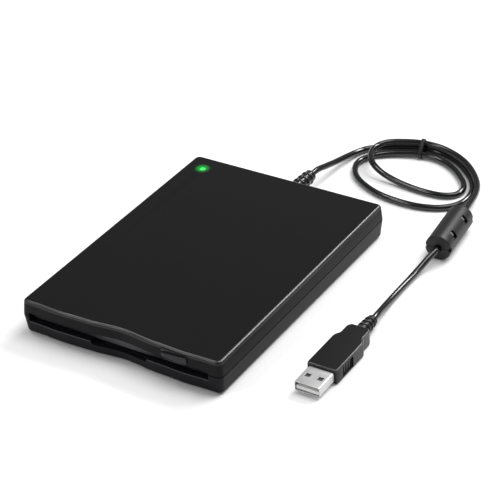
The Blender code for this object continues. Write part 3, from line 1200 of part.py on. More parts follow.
def build_cord():
    start = Vector((BOOT_X, BOOT_TIP_Y + SEAT, SEAM_HEIGHT))
    straight = Vector((0.0, CORD_DIAMETER, 0.0))
    meet = Vector(LEAD_ROUTE[-1])
    way = (Vector(COIL_ROUTE[0]) - Vector(LEAD_ROUTE[-2])).normalized()
    lead_route = ([start, start + straight] + [Vector(p) for p in LEAD_ROUTE[:-1]]
                  + [meet - way * CORD_DIAMETER, meet])
    choke_back = CHOKE_MIDDLE + CHOKE_AXIS * (CHOKE_LENGTH / 2)
    inside = choke_back - CHOKE_AXIS * CHOKE_END / 2
    coil_end = inside + CHOKE_AXIS * SEAT
    coil_start = meet + way * SEAT
    coil_route = ([coil_start, coil_start + way * CORD_DIAMETER] + [Vector(p) for p in COIL_ROUTE]
                  + [choke_back + CHOKE_AXIS * 2 * CORD_DIAMETER,
                     choke_back + CHOKE_AXIS * CORD_DIAMETER, coil_end])
    lead, lead_length = stretch(lead_route, LEAD_POINTS)
    coil, coil_length = stretch(coil_route, round(LOOPS * LOOP_POINTS) + 1)
    tube("cord_lead", lead, CORD_RADIUS, 2, "cord_black")
    tube("cord_coil", coil, CORD_RADIUS, 1, "cord_black")
    fine, _ = smooth_path(coil_route, LOOP_POINTS * 20)
    print("least gap between the cord's loops: %.2f mm" % (self_gap(fine) * 1000))

    choke_front = CHOKE_MIDDLE - CHOKE_AXIS * (CHOKE_LENGTH / 2)
    plug_end = Vector((PLUG_X, PLUG_FRONT + PLUG_LENGTH + PLUG_BOOT_LENGTH + SEAT, PLUG_AXIS))
    tail_route = ([inside - CHOKE_AXIS * SEAT, CHOKE_MIDDLE, choke_front,
                   choke_front - CHOKE_AXIS * CORD_DIAMETER / 2]
                  + [Vector(p) for p in TAIL_ROUTE]
                  + [plug_end + straight, plug_end])
    tail, tail_length = stretch(tail_route, TAIL_POINTS)
    tube("cord_tail", tail, CORD_RADIUS, 2, "cord_black")
    print("cord length: %.1f mm" % ((lead_length + coil_length + tail_length) * 1000))

    boot_back = Vector((BOOT_X, depth(CAVITY_BACK) - SEAT - BOOT_FLANGE - SEAT, SEAM_HEIGHT))
    socket = Vector((SOCKET_X, depth(SOCKET_DEPTH), PART_LOW + SOCKET_HEIGHT + SEAT))
    core_route = ([boot_back, boot_back - Vector((0.0, 2 * CORE_RADIUS, 0.0))]
                  + [Vector(p) for p in CORE_ROUTE]
                  + [socket + Vector((0.0, 0.0, 2 * CORE_RADIUS)), socket])
    core, _ = stretch(core_route, CORE_POINTS)
    tube("cord_core", core, CORE_RADIUS, 2, "cord_black")
    return fine


def ribbed(start, end, root, tip, ribs, rise):
    """Profile of a ribbed sleeve that tapers from root to tip, listed from tip to root."""
    points = []
    pitch = (end - start) / (2 * ribs)
    for k in range(2 * ribs):
        near, far = start + pitch * k, start + pitch * (k + 1)
        share = (k + 0.5) / (2 * ribs)
        radius = root + (tip - root) * share + (0.0 if k % 2 else rise)
        points += [(radius, near), (radius, far)]
    return list(reversed(points))


def build_strain_relief():
    inner = depth(CAVITY_BACK) - SEAT
    wall_out = BACK + SEAT
    grooved = wall_out + BOOT_COLLAR
    turned("strain_relief", 'Y',
           [(0.0, BOOT_TIP_Y), (BOOT_TIP_RADIUS, BOOT_TIP_Y)]
           + ribbed(grooved, BOOT_TIP_Y - STANCE, BOOT_ROOT_RADIUS, BOOT_TIP_RADIUS, BOOT_RIBS,
                    BOOT_RIB_RISE)
           + [(BOOT_COLLAR_RADIUS, grooved), (BOOT_COLLAR_RADIUS, wall_out),
              (BOOT_NECK_RADIUS, wall_out), (BOOT_NECK_RADIUS, inner),
              (BOOT_FLANGE_RADIUS, inner), (BOOT_FLANGE_RADIUS, inner - BOOT_FLANGE),
              (0.0, inner - BOOT_FLANGE)],
           (BOOT_X, 0.0, SEAM_HEIGHT), "cord_black", steps=20)


def hull_round(centres, radius, steps=6):
    """The outline of a band pulled round circles of one radius at the given centres."""
    middle = (sum(c[0] for c in centres) / len(centres), sum(c[1] for c in centres) / len(centres))
    ring = sorted(centres, key=lambda c: math.atan2(c[1] - middle[1], c[0] - middle[0]))
    outline = []
    for k, centre in enumerate(ring):
        before, after = ring[k - 1], ring[(k + 1) % len(ring)]
        start = math.atan2(centre[1] - before[1], centre[0] - before[0]) - math.pi / 2
        end = math.atan2(after[1] - centre[1], after[0] - centre[0]) - math.pi / 2
        while end < start:
            end += math.tau
        outline += arc(centre, radius, start, end, steps)
    return outline


def build_tie(path):
    """A thin band round the three strands, square to them where they cross its plane."""
    centre = Vector((TIE_X, TIE_DEPTH_Y, 0.0))
    along = Vector((math.cos(TIE_TURN), math.sin(TIE_TURN), 0.0))
    across = Vector((-along.y, along.x, 0.0))
    strands = []
    for a, b in zip(path, path[1:]):
        near, far = (a - centre).dot(along), (b - centre).dot(along)
        if near * far <= 0 and near != far:
            spot = a.lerp(b, near / (near - far))
            if abs((spot - centre).dot(across)) < CHOKE_LENGTH / 2:
                strands.append(((spot - centre).dot(across), spot.z))
    inner = hull_round(strands, CORD_RADIUS + TIE_PLAY)
    outer = hull_round(strands, CORD_RADIUS + TIE_PLAY + TIE_THICKNESS)
    # The side facing has its outline in Y and Z and its thickness in X, so one turn sets it
    tie = outlined("cable_tie", 'side', [outer, inner], -TIE_WIDTH / 2, TIE_WIDTH / 2,
                   "cord_black")
    tie.matrix_world = Matrix.Translation(centre) @ Matrix.Rotation(TIE_TURN, 4, 'Z')


def build_choke():
    """Two latched half shells round a split ferrite core, on the cord's line."""
    frame = Matrix.Translation(CHOKE_MIDDLE) @ Matrix.Rotation(CHOKE_TURN, 4, 'Z')
    half, bore = CHOKE_LENGTH / 2, CORD_RADIUS + SEAT
    outer, inner = CHOKE_RADIUS, CHOKE_RADIUS - CHOKE_WALL
    round_off = CHOKE_FILLET
    core_half = half - CHOKE_END - SEAT
    for name, sign in (("choke_upper", 1), ("choke_lower", -1)):
        shell = turned(name, 'Y',
                       [(bore, half), (outer - round_off, half), (outer, half - round_off),
                        (outer, round_off - half), (outer - round_off, -half), (bore, -half)],
                       (0.0, 0.0, 0.0), "choke_grey", steps=28, ring=True)
        hollow = rod(name + "_hollow", 'Y', inner, CHOKE_END - half, half - CHOKE_END,
                     (0.0, 0.0), steps=20)
        keep = SEAM_GAP / 2
        z = (keep - 2 * outer, keep) if sign > 0 else (-keep, 2 * outer - keep)
        split = box(name + "_split", (-2 * outer, 2 * outer), (-CHOKE_LENGTH, CHOKE_LENGTH), z)
        tools = [hollow, split]
        # Latch pockets at the four ends of the parting line
        for k, (sx, sy) in enumerate(((-1, -1), (1, -1), (-1, 1), (1, 1))):
            x = sorted((sx * (outer + OVERRUN), sx * (outer - CHOKE_LATCH_SINK)))
            y = sorted((sy * (half + OVERRUN), sy * (half - CHOKE_LATCH_DEPTH)))
            tools.append(box("%s_latch_%d" % (name, k), x, y,
                             (-CHOKE_LATCH_WIDTH / 2, CHOKE_LATCH_WIDTH / 2)))
        if sign > 0:
            for k, y in enumerate((-CHOKE_WINDOW_SET, CHOKE_WINDOW_SET)):
                window = box("choke_window_%d" % k, (inner - SEAT, outer + OVERRUN),
                             (y - CHOKE_WINDOW_LENGTH / 2, y + CHOKE_WINDOW_LENGTH / 2),
                             (-CHOKE_WINDOW_WIDTH / 2, CHOKE_WINDOW_WIDTH / 2))
                window.matrix_world = Matrix.Rotation(-CHOKE_WINDOW_ANGLE, 4, 'Y')
                tools.append(window)
        cut(shell, *tools)
        for tool in tools:
            tool.matrix_world = frame @ tool.matrix_world
        shell.matrix_world = frame @ TURNS['Y']
        core = turned("ferrite_" + name[6:], 'Y',
                      [(bore, core_half), (inner - SEAT, core_half),
                       (inner - SEAT, -core_half), (bore, -core_half)],
                      (0.0, 0.0, 0.0), "ferrite", steps=20, ring=True)
        core_split = box(name + "_core_split", (-2 * outer, 2 * outer),
                         (-CHOKE_LENGTH, CHOKE_LENGTH), z)
        cut(core, core_split)
        core_split.matrix_world = frame @ core_split.matrix_world
        core.matrix_world = frame @ TURNS['Y']


def build_plug():
    wide = PLUG_WIDTH / 2
    low, high = TABLE_GAP, TABLE_GAP + PLUG_THICKNESS
    side = [(PLUG_X + wide * w, PLUG_FRONT + PLUG_LENGTH * u) for u, w in PLUG_SHOULDER_SHARES]
    other = [(2 * PLUG_X - x, y) for x, y in reversed(side)]
    body = outlined("plug_body", 'plan', [side + other], low, high, "cord_black")
    bm = bmesh.new()
    bm.from_mesh(body.data)
    rims = [e for e in bm.edges if len(e.link_faces) == 2
            and abs(e.verts[0].co.z - e.verts[1].co.z) < SEAT / 2
            and min(abs(f.normal.z) for f in e.link_faces) < SEAT / STANCE]
    bmesh.ops.bevel(bm, geom=rims, offset=PLUG_BEVEL, segments=2, profile=0.5, affect='EDGES')
    bmesh.ops.recalc_face_normals(bm, faces=bm.faces)
    bm.to_mesh(body.data)
    bm.free()
    neck = PLUG_FRONT + PLUG_LENGTH
    tip = neck + PLUG_BOOT_LENGTH
    boot = turned("plug_boot", 'Y',
                  [(0.0, tip), (PLUG_BOOT_TIP_RADIUS, tip)]
                  + ribbed(neck, tip - STANCE, PLUG_BOOT_RADIUS, PLUG_BOOT_TIP_RADIUS,
                           PLUG_BOOT_RIBS, PLUG_BOOT_RIB_RISE)
                  + [(PLUG_BOOT_RADIUS, neck), (PLUG_BOOT_RADIUS, neck - OVERRUN),
                     (0.0, neck - OVERRUN)],
                  (PLUG_X, 0.0, PLUG_AXIS), steps=20)
    join(body, boot)
    grip_z = (PLUG_AXIS - GRIP_HEIGHT / 2, PLUG_AXIS + GRIP_HEIGHT / 2)
    grip_y = (PLUG_FRONT + GRIP_FRONT, PLUG_FRONT + GRIP_FRONT + GRIP_LENGTH)
    for name, sign in (("grip_left", -1), ("grip_right", 1)):
        x = sorted((PLUG_X + sign * (wide - GRIP_SINK), PLUG_X + sign * (wide + OVERRUN)))
        cut(body, box(name, x, grip_y, grip_z))

    def section(inset):
        half = SHELL_WIDTH / 2 - inset
        tall = SHELL_HEIGHT / 2 - inset
        return rounded((PLUG_X - half, PLUG_X + half), (PLUG_AXIS - tall, PLUG_AXIS + tall),
                       SHELL_RADIUS - inset, 4)

    front, back = PLUG_FRONT - SHELL_LENGTH, PLUG_FRONT - SEAT
    shell = outlined("plug_shell", 'front', [section(0.0), section(SHELL_SHEET)], front, back,
                     "nickel")
    for k, sign in enumerate((-1, 1)):
        x = PLUG_X + sign * SHELL_WINDOW_X
        y = front + SHELL_WINDOW_SET
        cut(shell, box("shell_window_%d" % k, (x - SHELL_WINDOW / 2, x + SHELL_WINDOW / 2),
                       (y - SHELL_WINDOW / 2, y + SHELL_WINDOW / 2),
                       (PLUG_AXIS - SHELL_HEIGHT, PLUG_AXIS + SHELL_HEIGHT)))
    inner = SHELL_WIDTH / 2 - SHELL_SHEET - SEAT
    floor = PLUG_AXIS - SHELL_HEIGHT / 2 + SHELL_SHEET + SEAT
    box("plug_tongue", (PLUG_X - inner, PLUG_X + inner), (front + TONGUE_SET, back),
        (floor, floor + TONGUE_THICKNESS), "white_plastic")


def main():
    build_case()
    build_feet_and_screws()
    build_light()
    build_chassis()
    build_boards()
    build_spindle()
    holder, lever = build_holder()
    lever_axis = pivot("lever_axis", (mech(LEVER_X), depth(LEVER_DEPTH), SLIDE_LOW), lever)
    pivot("holder_axis", (mech(0.0), depth(HOLDER_FRONT), PIN_HEIGHT), holder, lever_axis)
    slide, button = build_slide()
    pivot("slide_axis", (mech(0.0), depth(SLIDE_FRONT), SLIDE_LOW), slide, button)
    door = build_door()
    pivot("door_axis", (mech(0.0), depth(DOOR_AXIS_DEPTH), DOOR_AXIS_HEIGHT), door)
    build_carriage()
    build_strain_relief()
    path = build_cord()
    build_tie(path)
    build_choke()
    build_plug()
    bpy.context.view_layer.update()


main()
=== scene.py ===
"""Looks of the external floppy disk drive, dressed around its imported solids.

Metres, +Z up, the disk slot towards -Y. The moving pieces ride on the bodies they belong to.
"""
import math

import bmesh
import bpy
from bpy.props import FloatProperty, FloatVectorProperty, PointerProperty
from mathutils import Matrix, Vector


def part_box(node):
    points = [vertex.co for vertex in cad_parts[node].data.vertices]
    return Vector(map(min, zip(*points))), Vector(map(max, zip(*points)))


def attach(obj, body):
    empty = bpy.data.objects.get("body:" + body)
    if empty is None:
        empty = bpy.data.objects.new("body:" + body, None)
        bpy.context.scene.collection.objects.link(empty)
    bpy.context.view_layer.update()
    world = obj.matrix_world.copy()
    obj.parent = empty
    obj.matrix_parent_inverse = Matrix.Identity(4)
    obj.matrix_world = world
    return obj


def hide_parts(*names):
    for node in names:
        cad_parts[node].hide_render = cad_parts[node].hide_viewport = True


bl_info = {
    "name": "Floppy Drive Dressing",
    "version": (1, 0, 0),
    "blender": (4, 5, 0),
    "location": "View3D > Sidebar > Floppy Drive",
    "description": "Finished shells, cord, plug and materials for an external floppy disk drive",
    "category": "Object",
}

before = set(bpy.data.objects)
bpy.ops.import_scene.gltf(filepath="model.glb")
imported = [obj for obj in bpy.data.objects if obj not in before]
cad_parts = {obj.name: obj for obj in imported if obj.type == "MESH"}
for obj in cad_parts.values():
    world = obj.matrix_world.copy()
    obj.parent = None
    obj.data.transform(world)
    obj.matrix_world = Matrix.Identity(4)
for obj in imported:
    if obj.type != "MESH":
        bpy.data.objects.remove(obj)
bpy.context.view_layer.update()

MM = 0.001
EPS = 0.02 * MM            # two places closer than this are the same
OVERRUN = 2.0 * MM         # how far a cutter runs past what it cuts
GAP = 0.3 * MM             # clearance between neighbours
SHARP = math.radians(32.0)  # edges that turn by more than this stay crisp
RIM_TURN = 0.6             # least difference in how far two faces look up across a flat face's rim

TOP_LOW, TOP_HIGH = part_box("top_cover")
BASE_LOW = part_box("bottom_cover")[0]
DOOR_LOW, DOOR_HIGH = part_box("dust_door")
BUTTON_LOW, BUTTON_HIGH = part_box("eject_button")
PIPE_LOW, PIPE_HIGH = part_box("light_pipe")
RELIEF_LOW, RELIEF_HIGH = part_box("strain_relief")
PLUG_LOW, PLUG_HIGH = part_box("plug_body")
SHELL_LOW, SHELL_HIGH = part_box("plug_shell")
TONGUE_LOW, TONGUE_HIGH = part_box("plug_tongue")

# Shells
FRONT = -70.3 * MM
BACK = TOP_HIGH.y
ROOF_TOP = TOP_HIGH.z
SEAM = 9.6 * MM
SEAM_GAP = 0.46 * MM
SLOT_Z = (6.9 * MM, 11.3 * MM)
SLOT_X = (-47.6 * MM, 45.1 * MM)
FRONT_WALL = 3.0 * MM
SIDE_WALL = 2.1 * MM
FLAT_WALL = 1.6 * MM
CEILING = ROOF_TOP - FLAT_WALL
FLOOR_TOP = BASE_LOW.z + FLAT_WALL
INNER_CORNER = 1.4 * MM
ROOF_DRAFT, BASE_DRAFT = 0.54 * MM, 0.82 * MM  # how far each shell is drawn in at its flat face
LAP = 1.3 * MM             # step in the upper shell's wall that the lower one's lip fits
LIP, LIP_FRONT = 1.0 * MM, 0.4 * MM
WINDOW_CORNER = 0.6 * MM
EAR_BOTTOM, EAR_DEPTH, EAR_LENGTH = 10.9 * MM, 1.9 * MM, 2.0 * MM
HINGE_Y, HINGE_Z = FRONT + 3.8 * MM, 12.0 * MM
PIN_BORE, PIN_HOLE = 0.75 * MM, 0.6 * MM
LIGHT_BORE = 1.8 * MM
RELIEF_BORE = 3.4 * MM
BOSS_RADIUS, BOSS_HOLE_TOP = 2.6 * MM, 10.0 * MM
NOTCH_X, NOTCH_DEPTH, NOTCH_CORNER = (-15.2 * MM, 13.8 * MM), 1.7 * MM, 1.5 * MM
SCREW_X, SCREW_Y, SCREW_BORE = 46.2 * MM, FRONT + 136.6 * MM, 1.3 * MM
HEAD_BORE, HEAD_SEAT = 2.2 * MM, 0.9 * MM
FEET = ("foot_front_left", "foot_front_right", "foot_back_left", "foot_back_right")
FOOT_RADIUS, FOOT_SEAT, FOOT_EDGE = 4.0 * MM, 0.6 * MM, 0.5 * MM
LIGHT_SPOT = (PIPE_LOW.x + PIPE_HIGH.x) / 2, (PIPE_LOW.y + PIPE_HIGH.y) / 2
RELIEF_AXIS = Vector(((RELIEF_LOW.x + RELIEF_HIGH.x) / 2, 0.0, SEAM))
PLUG_AXIS = Vector(((PLUG_LOW.x + PLUG_HIGH.x) / 2, 0.0, (SHELL_LOW.z + SHELL_HIGH.z) / 2))

# Choke, tie and plug
CHOKE_MIDDLE = Vector((81.4 * MM, 78.7 * MM, 6.35 * MM))
CHOKE_TURN = math.radians(5.77)
CHOKE_RADIUS = 6.25 * MM
CHOKE_HALF = 14.9 * MM
CHOKE_WALL, CHOKE_END_WALL = 1.1 * MM, 1.6 * MM
CHOKE_SPLIT = 0.08 * MM    # half the gap between the choke's halves
LATCH_NOTCH, LATCH_HALF = 1.3 * MM, 1.0 * MM
CHOKE_RINGS = (12.0, 10.0, 9.0, 5.0, 4.0, 2.0, 0.0, -2.0, -4.0, -5.0, -9.0, -10.0, -12.0)
WINDOW_TILT = math.radians(40.0)  # how far above level the choke's windows face
WINDOW_PLACES, WINDOW_HALF = (-7.0 * MM, 7.0 * MM), 1.4 * MM
WINDOW_SPAN, HOOK_SPAN = (-2.1 * MM, 1.9 * MM), (-0.3 * MM, 1.7 * MM)
HOOK_Y, HOOK_BITE, HOOK_SINK = (-1.3 * MM, 0.2 * MM), 0.2 * MM, 0.45 * MM
TIE_PLACE, TIE_TURN = Vector((33.0 * MM, 146.0 * MM, 0.0)), math.radians(10.0)
TIE_INNER, TIE_OUTER, TIE_REACH = 0.30 * MM, 0.72 * MM, 15.0 * MM
GRIP_LENGTH, GRIP_HALF, GRIP_HEIGHT = 33.5 * MM, 7.3 * MM, 7.2 * MM
CAN_WALL, CAN_CORNER = 0.3 * MM, 0.6 * MM
CAN_WINDOW_X, CAN_WINDOW_Y, CAN_WINDOW_HALF = 3.0 * MM, 6.2 * MM, 1.2 * MM

# Eject button: where its pad's lower and upper edges run, as shares of its width and height
PAD_SHARES = ((0.0, 0.34, 0.74), (0.05, 0.22, 0.80), (0.14, 0.11, 0.83), (0.28, 0.03, 0.84),
              (0.45, 0.0, 0.86), (0.62, 0.0, 0.90), (0.80, 0.03, 0.95), (0.93, 0.07, 1.0),
              (1.0, 0.10, 0.97))
PAD_HEIGHT, PAD_ROOT = 3.4 * MM, 1.3 * MM
PAD_SWEEP, PAD_RETURN = 0.9 * MM, 0.5 * MM  # how far its left and right ends fall back
SHELF_FRONT, SHELF_BACK, SHELF_MORE = 0.1 * MM, 3.0 * MM, 0.12 * MM
STEM_INSET, STEM_FRONT, STEM_Z = 1.4 * MM, 2.7 * MM, (12.95 * MM, 14.55 * MM)

# Pockets and grooves in the sides of the plug's grip
GRIP_SHARES = ((0.0, 0.93), (0.03, 1.0), (0.655, 1.0), (0.69, 0.985), (0.725, 0.90),
               (0.76, 0.79), (0.79, 0.765), (0.93, 0.765), (0.965, 0.70), (1.0, 0.56))
POCKET_Y, POCKET_DEPTH, POCKET_HALF = (5.0 * MM, 14.0 * MM), 0.7 * MM, 2.6 * MM
GROOVES, GROOVE_FIRST, GROOVE_PITCH, GROOVE_WIDTH = 4, 6.2 * MM, 2.0 * MM, 0.9 * MM
GROOVE_DEPTHS, GROOVE_HALF = (0.95 * MM, 0.5 * MM), 2.3 * MM

# Wave of the front face
WAVE_CENTRE = 1.0 * MM
WAVE_RECESS = 1.5 * MM
WAVE_BULGE = 0.5 * MM
WAVE_HALF = 18.0 * MM
WAVE_REACH = 46.0 * MM
WAVE_CUTS = 62

# The cord's centre line, from the strain relief to the choke and on to the plug. Its start lies
# a little higher than the solids' on its way down to the floor.
LEAD_ROUTE = ((0.0016, 0.0960, 0.0094), (0.0021, 0.1030, 0.0079), (0.0023, 0.1120, 0.0056),
              (0.0026, 0.1210, 0.0036), (0.0040, 0.1300, 0.0022), (0.0070, 0.1368, 0.0017))
COIL_ROUTE = ((0.0118, 0.1406, 0.0016), (0.0187, 0.1437, 0.0019), (0.0320, 0.1481, 0.00235),
              (0.0412, 0.1487, 0.0019), (0.0511, 0.1455, 0.0016), (0.0599, 0.1391, 0.0016),
              (0.0671, 0.1315, 0.0016), (0.0712, 0.1236, 0.0016), (0.0723, 0.1153, 0.0016),
              (0.0700, 0.1079, 0.0016), (0.0645, 0.1026, 0.0016), (0.0555, 0.0994, 0.0016),
              (0.0452, 0.0988, 0.0016), (0.0334, 0.1005, 0.0016), (0.0236, 0.1045, 0.0016),
              (0.0155, 0.1101, 0.0016), (0.0109, 0.1164, 0.0016), (0.0091, 0.1237, 0.0016),
              (0.0116, 0.1305, 0.0016), (0.0180, 0.1363, 0.0018), (0.0347, 0.1429, 0.00235),
              (0.0443, 0.1425, 0.0018), (0.0530, 0.1386, 0.0016), (0.0605, 0.1322, 0.0016),
              (0.0652, 0.1262, 0.0016), (0.0668, 0.1212, 0.0016), (0.0657, 0.1167, 0.0016),
              (0.0612, 0.1135, 0.0016), (0.0542, 0.1124, 0.0016), (0.0448, 0.1129, 0.0016),
              (0.0348, 0.1143, 0.0022), (0.0261, 0.1162, 0.0036), (0.0191, 0.1200, 0.0050),
              (0.0142, 0.1268, 0.0054), (0.0129, 0.1346, 0.0055), (0.0159, 0.1404, 0.0057),
              (0.0233, 0.1445, 0.0059), (0.0325, 0.1473, 0.0060), (0.0418, 0.1476, 0.0058),
              (0.0513, 0.1449, 0.0056), (0.0597, 0.1401, 0.0054), (0.0671, 0.1330, 0.0053),
              (0.0728, 0.1253, 0.0051), (0.0758, 0.1180, 0.0050), (0.0776, 0.1100, 0.0055))
TAIL_ROUTE = ((0.0821, 0.0575, 0.0052), (0.0808, 0.0505, 0.0030), (0.0802, 0.0430, 0.0019),
              (0.0801, 0.0320, 0.0017), (0.0804, 0.0220, 0.0020), (0.0811, 0.0140, 0.0028))

CORE_RADIUS = 0.9 * MM
SOCKET_LOW, SOCKET_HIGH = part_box("cord_socket")
CORE_END = Vector(((SOCKET_LOW.x + SOCKET_HIGH.x) / 2, (SOCKET_LOW.y + SOCKET_HIGH.y) / 2,
                   SOCKET_HIGH.z))
CORE_ROUTE = ((RELIEF_AXIS.x, 0.0675, SEAM), (RELIEF_AXIS.x, 0.0655, SEAM),
              (0.0040, 0.0630, 0.0108), (0.0090, 0.0602, 0.0131), (0.0170, 0.0595, 0.0138),
              (0.0250, 0.0600, 0.0132), (0.0305, 0.0605, 0.0117),
              CORE_END + Vector((0.0, 0.0, 2 * CORE_RADIUS)), CORE_END)


class Wire:
    """One socket of a material's nodes, on which Python's own operators add Math nodes."""

    def __init__(self, paint, socket):
        self.paint, self.socket = paint, socket

    def math(self, operation, *terms, clamp=False):
        return self.paint.node("ShaderNodeMath", {"operation": operation, "use_clamp": clamp},
                               terms)

    def __add__(self, other):
        return self.math('ADD', self, other)

    def __sub__(self, other):
        return self.math('SUBTRACT', self, other)

    def __rsub__(self, other):
        return self.math('SUBTRACT', other, self)

    def __mul__(self, other):
        return self.math('MULTIPLY', self, other)

    def __pow__(self, other):
        return self.math('POWER', self, other)

    __radd__ = __add__
    __rmul__ = __mul__

    def clamped(self):
        return self.math('ADD', self, 0.0, clamp=True)


class Paint:
    """A procedural material around one Principled shader."""

    def __init__(self, name, **constants):
        self.material = bpy.data.materials.new(name)
        self.material.use_nodes = True
        self.tree = self.material.node_tree
        self.shader = self.tree.nodes["Principled BSDF"]
        for key, value in constants.items():
            self.shader.inputs[key.replace("_", " ")].default_value = value
        self.place = self.node("ShaderNodeTexCoord", output="Object")

    def node(self, kind, settings=None, values=(), output=0):
        made = self.tree.nodes.new(kind)
        for key, value in (settings or {}).items():
            setattr(made, key, value)
        pairs = values.items() if isinstance(values, dict) else enumerate(values)
        for key, value in pairs:
            if isinstance(value, Wire):
                self.tree.links.new(value.socket, made.inputs[key])
            else:
                made.inputs[key].default_value = value
        return Wire(self, made.outputs[output])

    def feed(self, socket, wire):
        self.tree.links.new(wire.socket, self.shader.inputs[socket])

    def stretched(self, scale):
        return self.node("ShaderNodeMapping", values={"Vector": self.place, "Scale": scale})

    def noise(self, scale, detail=2.0, rough=0.5, place=None):
        return self.node("ShaderNodeTexNoise",
                         values={"Vector": place or self.place, "Scale": scale,
                                 "Detail": detail, "Roughness": rough})

    def band(self, value, low, high):
        """0 below low, 1 above high, and smooth between them."""
        return self.node("ShaderNodeMapRange", {"interpolation_type": 'SMOOTHSTEP'},
                         {"Value": value, "From Min": low, "From Max": high})

    def from_light(self):
        """How far each point lies from the indicator light."""
        return self.node("ShaderNodeVectorMath", {"operation": 'DISTANCE'},
                         {0: self.place, 1: (*LIGHT_SPOT, ROOF_TOP)}, output="Value")

    def mix(self, share, first, second):
        return self.node("ShaderNodeMix", {"data_type": 'RGBA'},
                         {0: share, 6: first, 7: second}, output=2)

    def bump(self, height, distance):
        self.feed("Normal", self.node("ShaderNodeBump", values={
            "Strength": 1.0, "Distance": distance, "Height": height}))


def shade(colour, factor):
    return (*(min(1.0, c * factor) for c in colour), 1.0)


def moulding(name, colour, roughness, grain, grain_size, variation=0.10, specular=0.5):
    """Moulded plastic: a fine spark-eroded grain, cloudy gloss and slight flow marks."""
    paint = Paint(name, Specular_IOR_Level=specular)
    cloud = paint.noise(60.0, 3.0)
    flow = paint.noise(9.0, 4.0, 0.6, paint.stretched((1.0, 0.35, 1.0)))
    fine = paint.noise(1.0 / (grain_size * MM), 2.0, 0.65)
    tone = cloud * 0.5 + flow * 0.5
    paint.feed("Base Color", paint.mix(tone, shade(colour, 1.0 - variation),
                                       shade(colour, 1.0 + variation)))
    paint.feed("Roughness", (roughness + (cloud - 0.5) * 0.06 + (fine - 0.5) * 0.10).clamped())
    paint.bump(fine, grain * MM)
    return paint


def metal(name, colour, roughness, grain=(1.0, 1.0, 1.0), scratch=0.004, tint=0.10):
    """Plated or rolled metal with its grain drawn out along the axis whose share is small."""
    paint = Paint(name, Metallic=1.0)
    drawn = paint.noise(2600.0, 3.0, 0.7, paint.stretched(grain))
    cloud = paint.noise(140.0, 2.0)
    paint.feed("Base Color", paint.mix(drawn * 0.6 + cloud * 0.4, shade(colour, 1.0 - tint),
                                       shade(colour, 1.0 + tint)))
    paint.feed("Roughness", (roughness + (drawn - 0.5) * 0.18 + (cloud - 0.5) * 0.08).clamped())
    paint.bump(drawn, scratch * MM)
    return paint


def board_paint(name):
    """Lacquered laminate: copper tracks under green lacquer, with tinned pads."""
    paint = Paint(name)
    tracks = paint.node("ShaderNodeTexBrick", {"offset": 0.37},
                        {"Vector": paint.place, "Scale": 260.0, "Mortar Size": 0.05,
                         "Brick Width": 0.9, "Row Height": 0.22}, output="Fac")
    pads = paint.node("ShaderNodeTexVoronoi", {"distance": 'CHEBYCHEV'},
                      {"Vector": paint.place, "Scale": 420.0, "Randomness": 0.35})
    pad = 1.0 - paint.band(pads, 0.16, 0.20)
    lacquer = paint.mix(tracks, (0.012, 0.085, 0.035, 1.0), (0.030, 0.17, 0.065, 1.0))
    paint.feed("Base Color", paint.mix(pad, lacquer, (0.62, 0.60, 0.55, 1.0)))
    paint.feed("Metallic", pad)
    paint.feed("Roughness", 0.42 - 0.12 * pad)
    paint.bump(tracks * 0.4 + pad, 0.05 * MM)
    return paint


def jacket_paint(name, colour):
    """Soft cord jacket: satin, with faint drawing lines and a little dust."""
    paint = Paint(name, Specular_IOR_Level=0.40, Coat_Weight=0.45, Coat_Roughness=0.12)
    streak = paint.noise(260.0, 2.0, 0.5)
    dust = paint.band(paint.noise(900.0, 2.0), 0.62, 0.85)
    paint.feed("Base Color", paint.mix(dust * 0.2, shade(colour, 1.0), shade(colour, 1.8)))
    paint.feed("Roughness", (0.20 + (streak - 0.5) * 0.08 + dust * 0.05).clamped())
    paint.bump(paint.noise(5200.0, 2.0), 0.0015 * MM)
    return paint


def lens_paint(name, colour, strength):
    """The lit lens: brightest in the middle, darker towards its rim."""
    paint = Paint(name, Roughness=0.18, Emission_Strength=strength)
    core = 1.0 - paint.band(paint.from_light(), 0.2 * MM, 1.6 * MM)
    facet = paint.noise(1500.0, 1.0)
    paint.feed("Base Color", paint.mix(core, shade(colour, 0.5), shade(colour, 1.0)))
    paint.feed("Emission Color", paint.mix(core * (0.9 + 0.2 * facet), shade(colour, 0.75),
                                           (0.085, 0.80, 0.13, 1.0)))
    paint.bump(facet, 0.01 * MM)
    return paint


def polished_rim(paint, top, depth, span=None):
    """A smoother, glossier skin on the fillet under a flat top, where hands polish it."""
    x, y, height = (paint.node("ShaderNodeSeparateXYZ", values=[paint.place], output=axis)
                    for axis in "XYZ")
    rim = (paint.band(height, top - 1.15 * depth, top - 0.85 * depth)
           * (1.0 - paint.band(height, top - 0.06 * depth, top - 0.01 * depth)))
    if span:
        rim = (rim * (1.0 - paint.band(y, FRONT + 2.4 * MM, FRONT + FRONT_WALL))
               * paint.band(x, span[0] - 0.2 * MM, span[0] + 0.2 * MM)
               * (1.0 - paint.band(x, span[1] - 0.2 * MM, span[1] + 0.2 * MM)))
    wear = paint.noise(90.0, 2.0)
    paint.feed("Coat Weight", rim * (0.85 + 0.15 * wear))
    paint.shader.inputs["Coat Roughness"].default_value = 0.30
    return paint


def glowing_roof(paint, settings):
    """Green light spilling from the lens over the roof round it."""
    near = 1.0 - paint.band(paint.from_light(), 1.3 * MM, settings.glow_reach)
    paint.feed("Emission Color", paint.mix(near ** 1.6, (0.0, 0.0, 0.0, 1.0),
                                           (*settings.colour, 1.0)))
    paint.shader.inputs["Emission Strength"].default_value = settings.glow_strength
    return paint


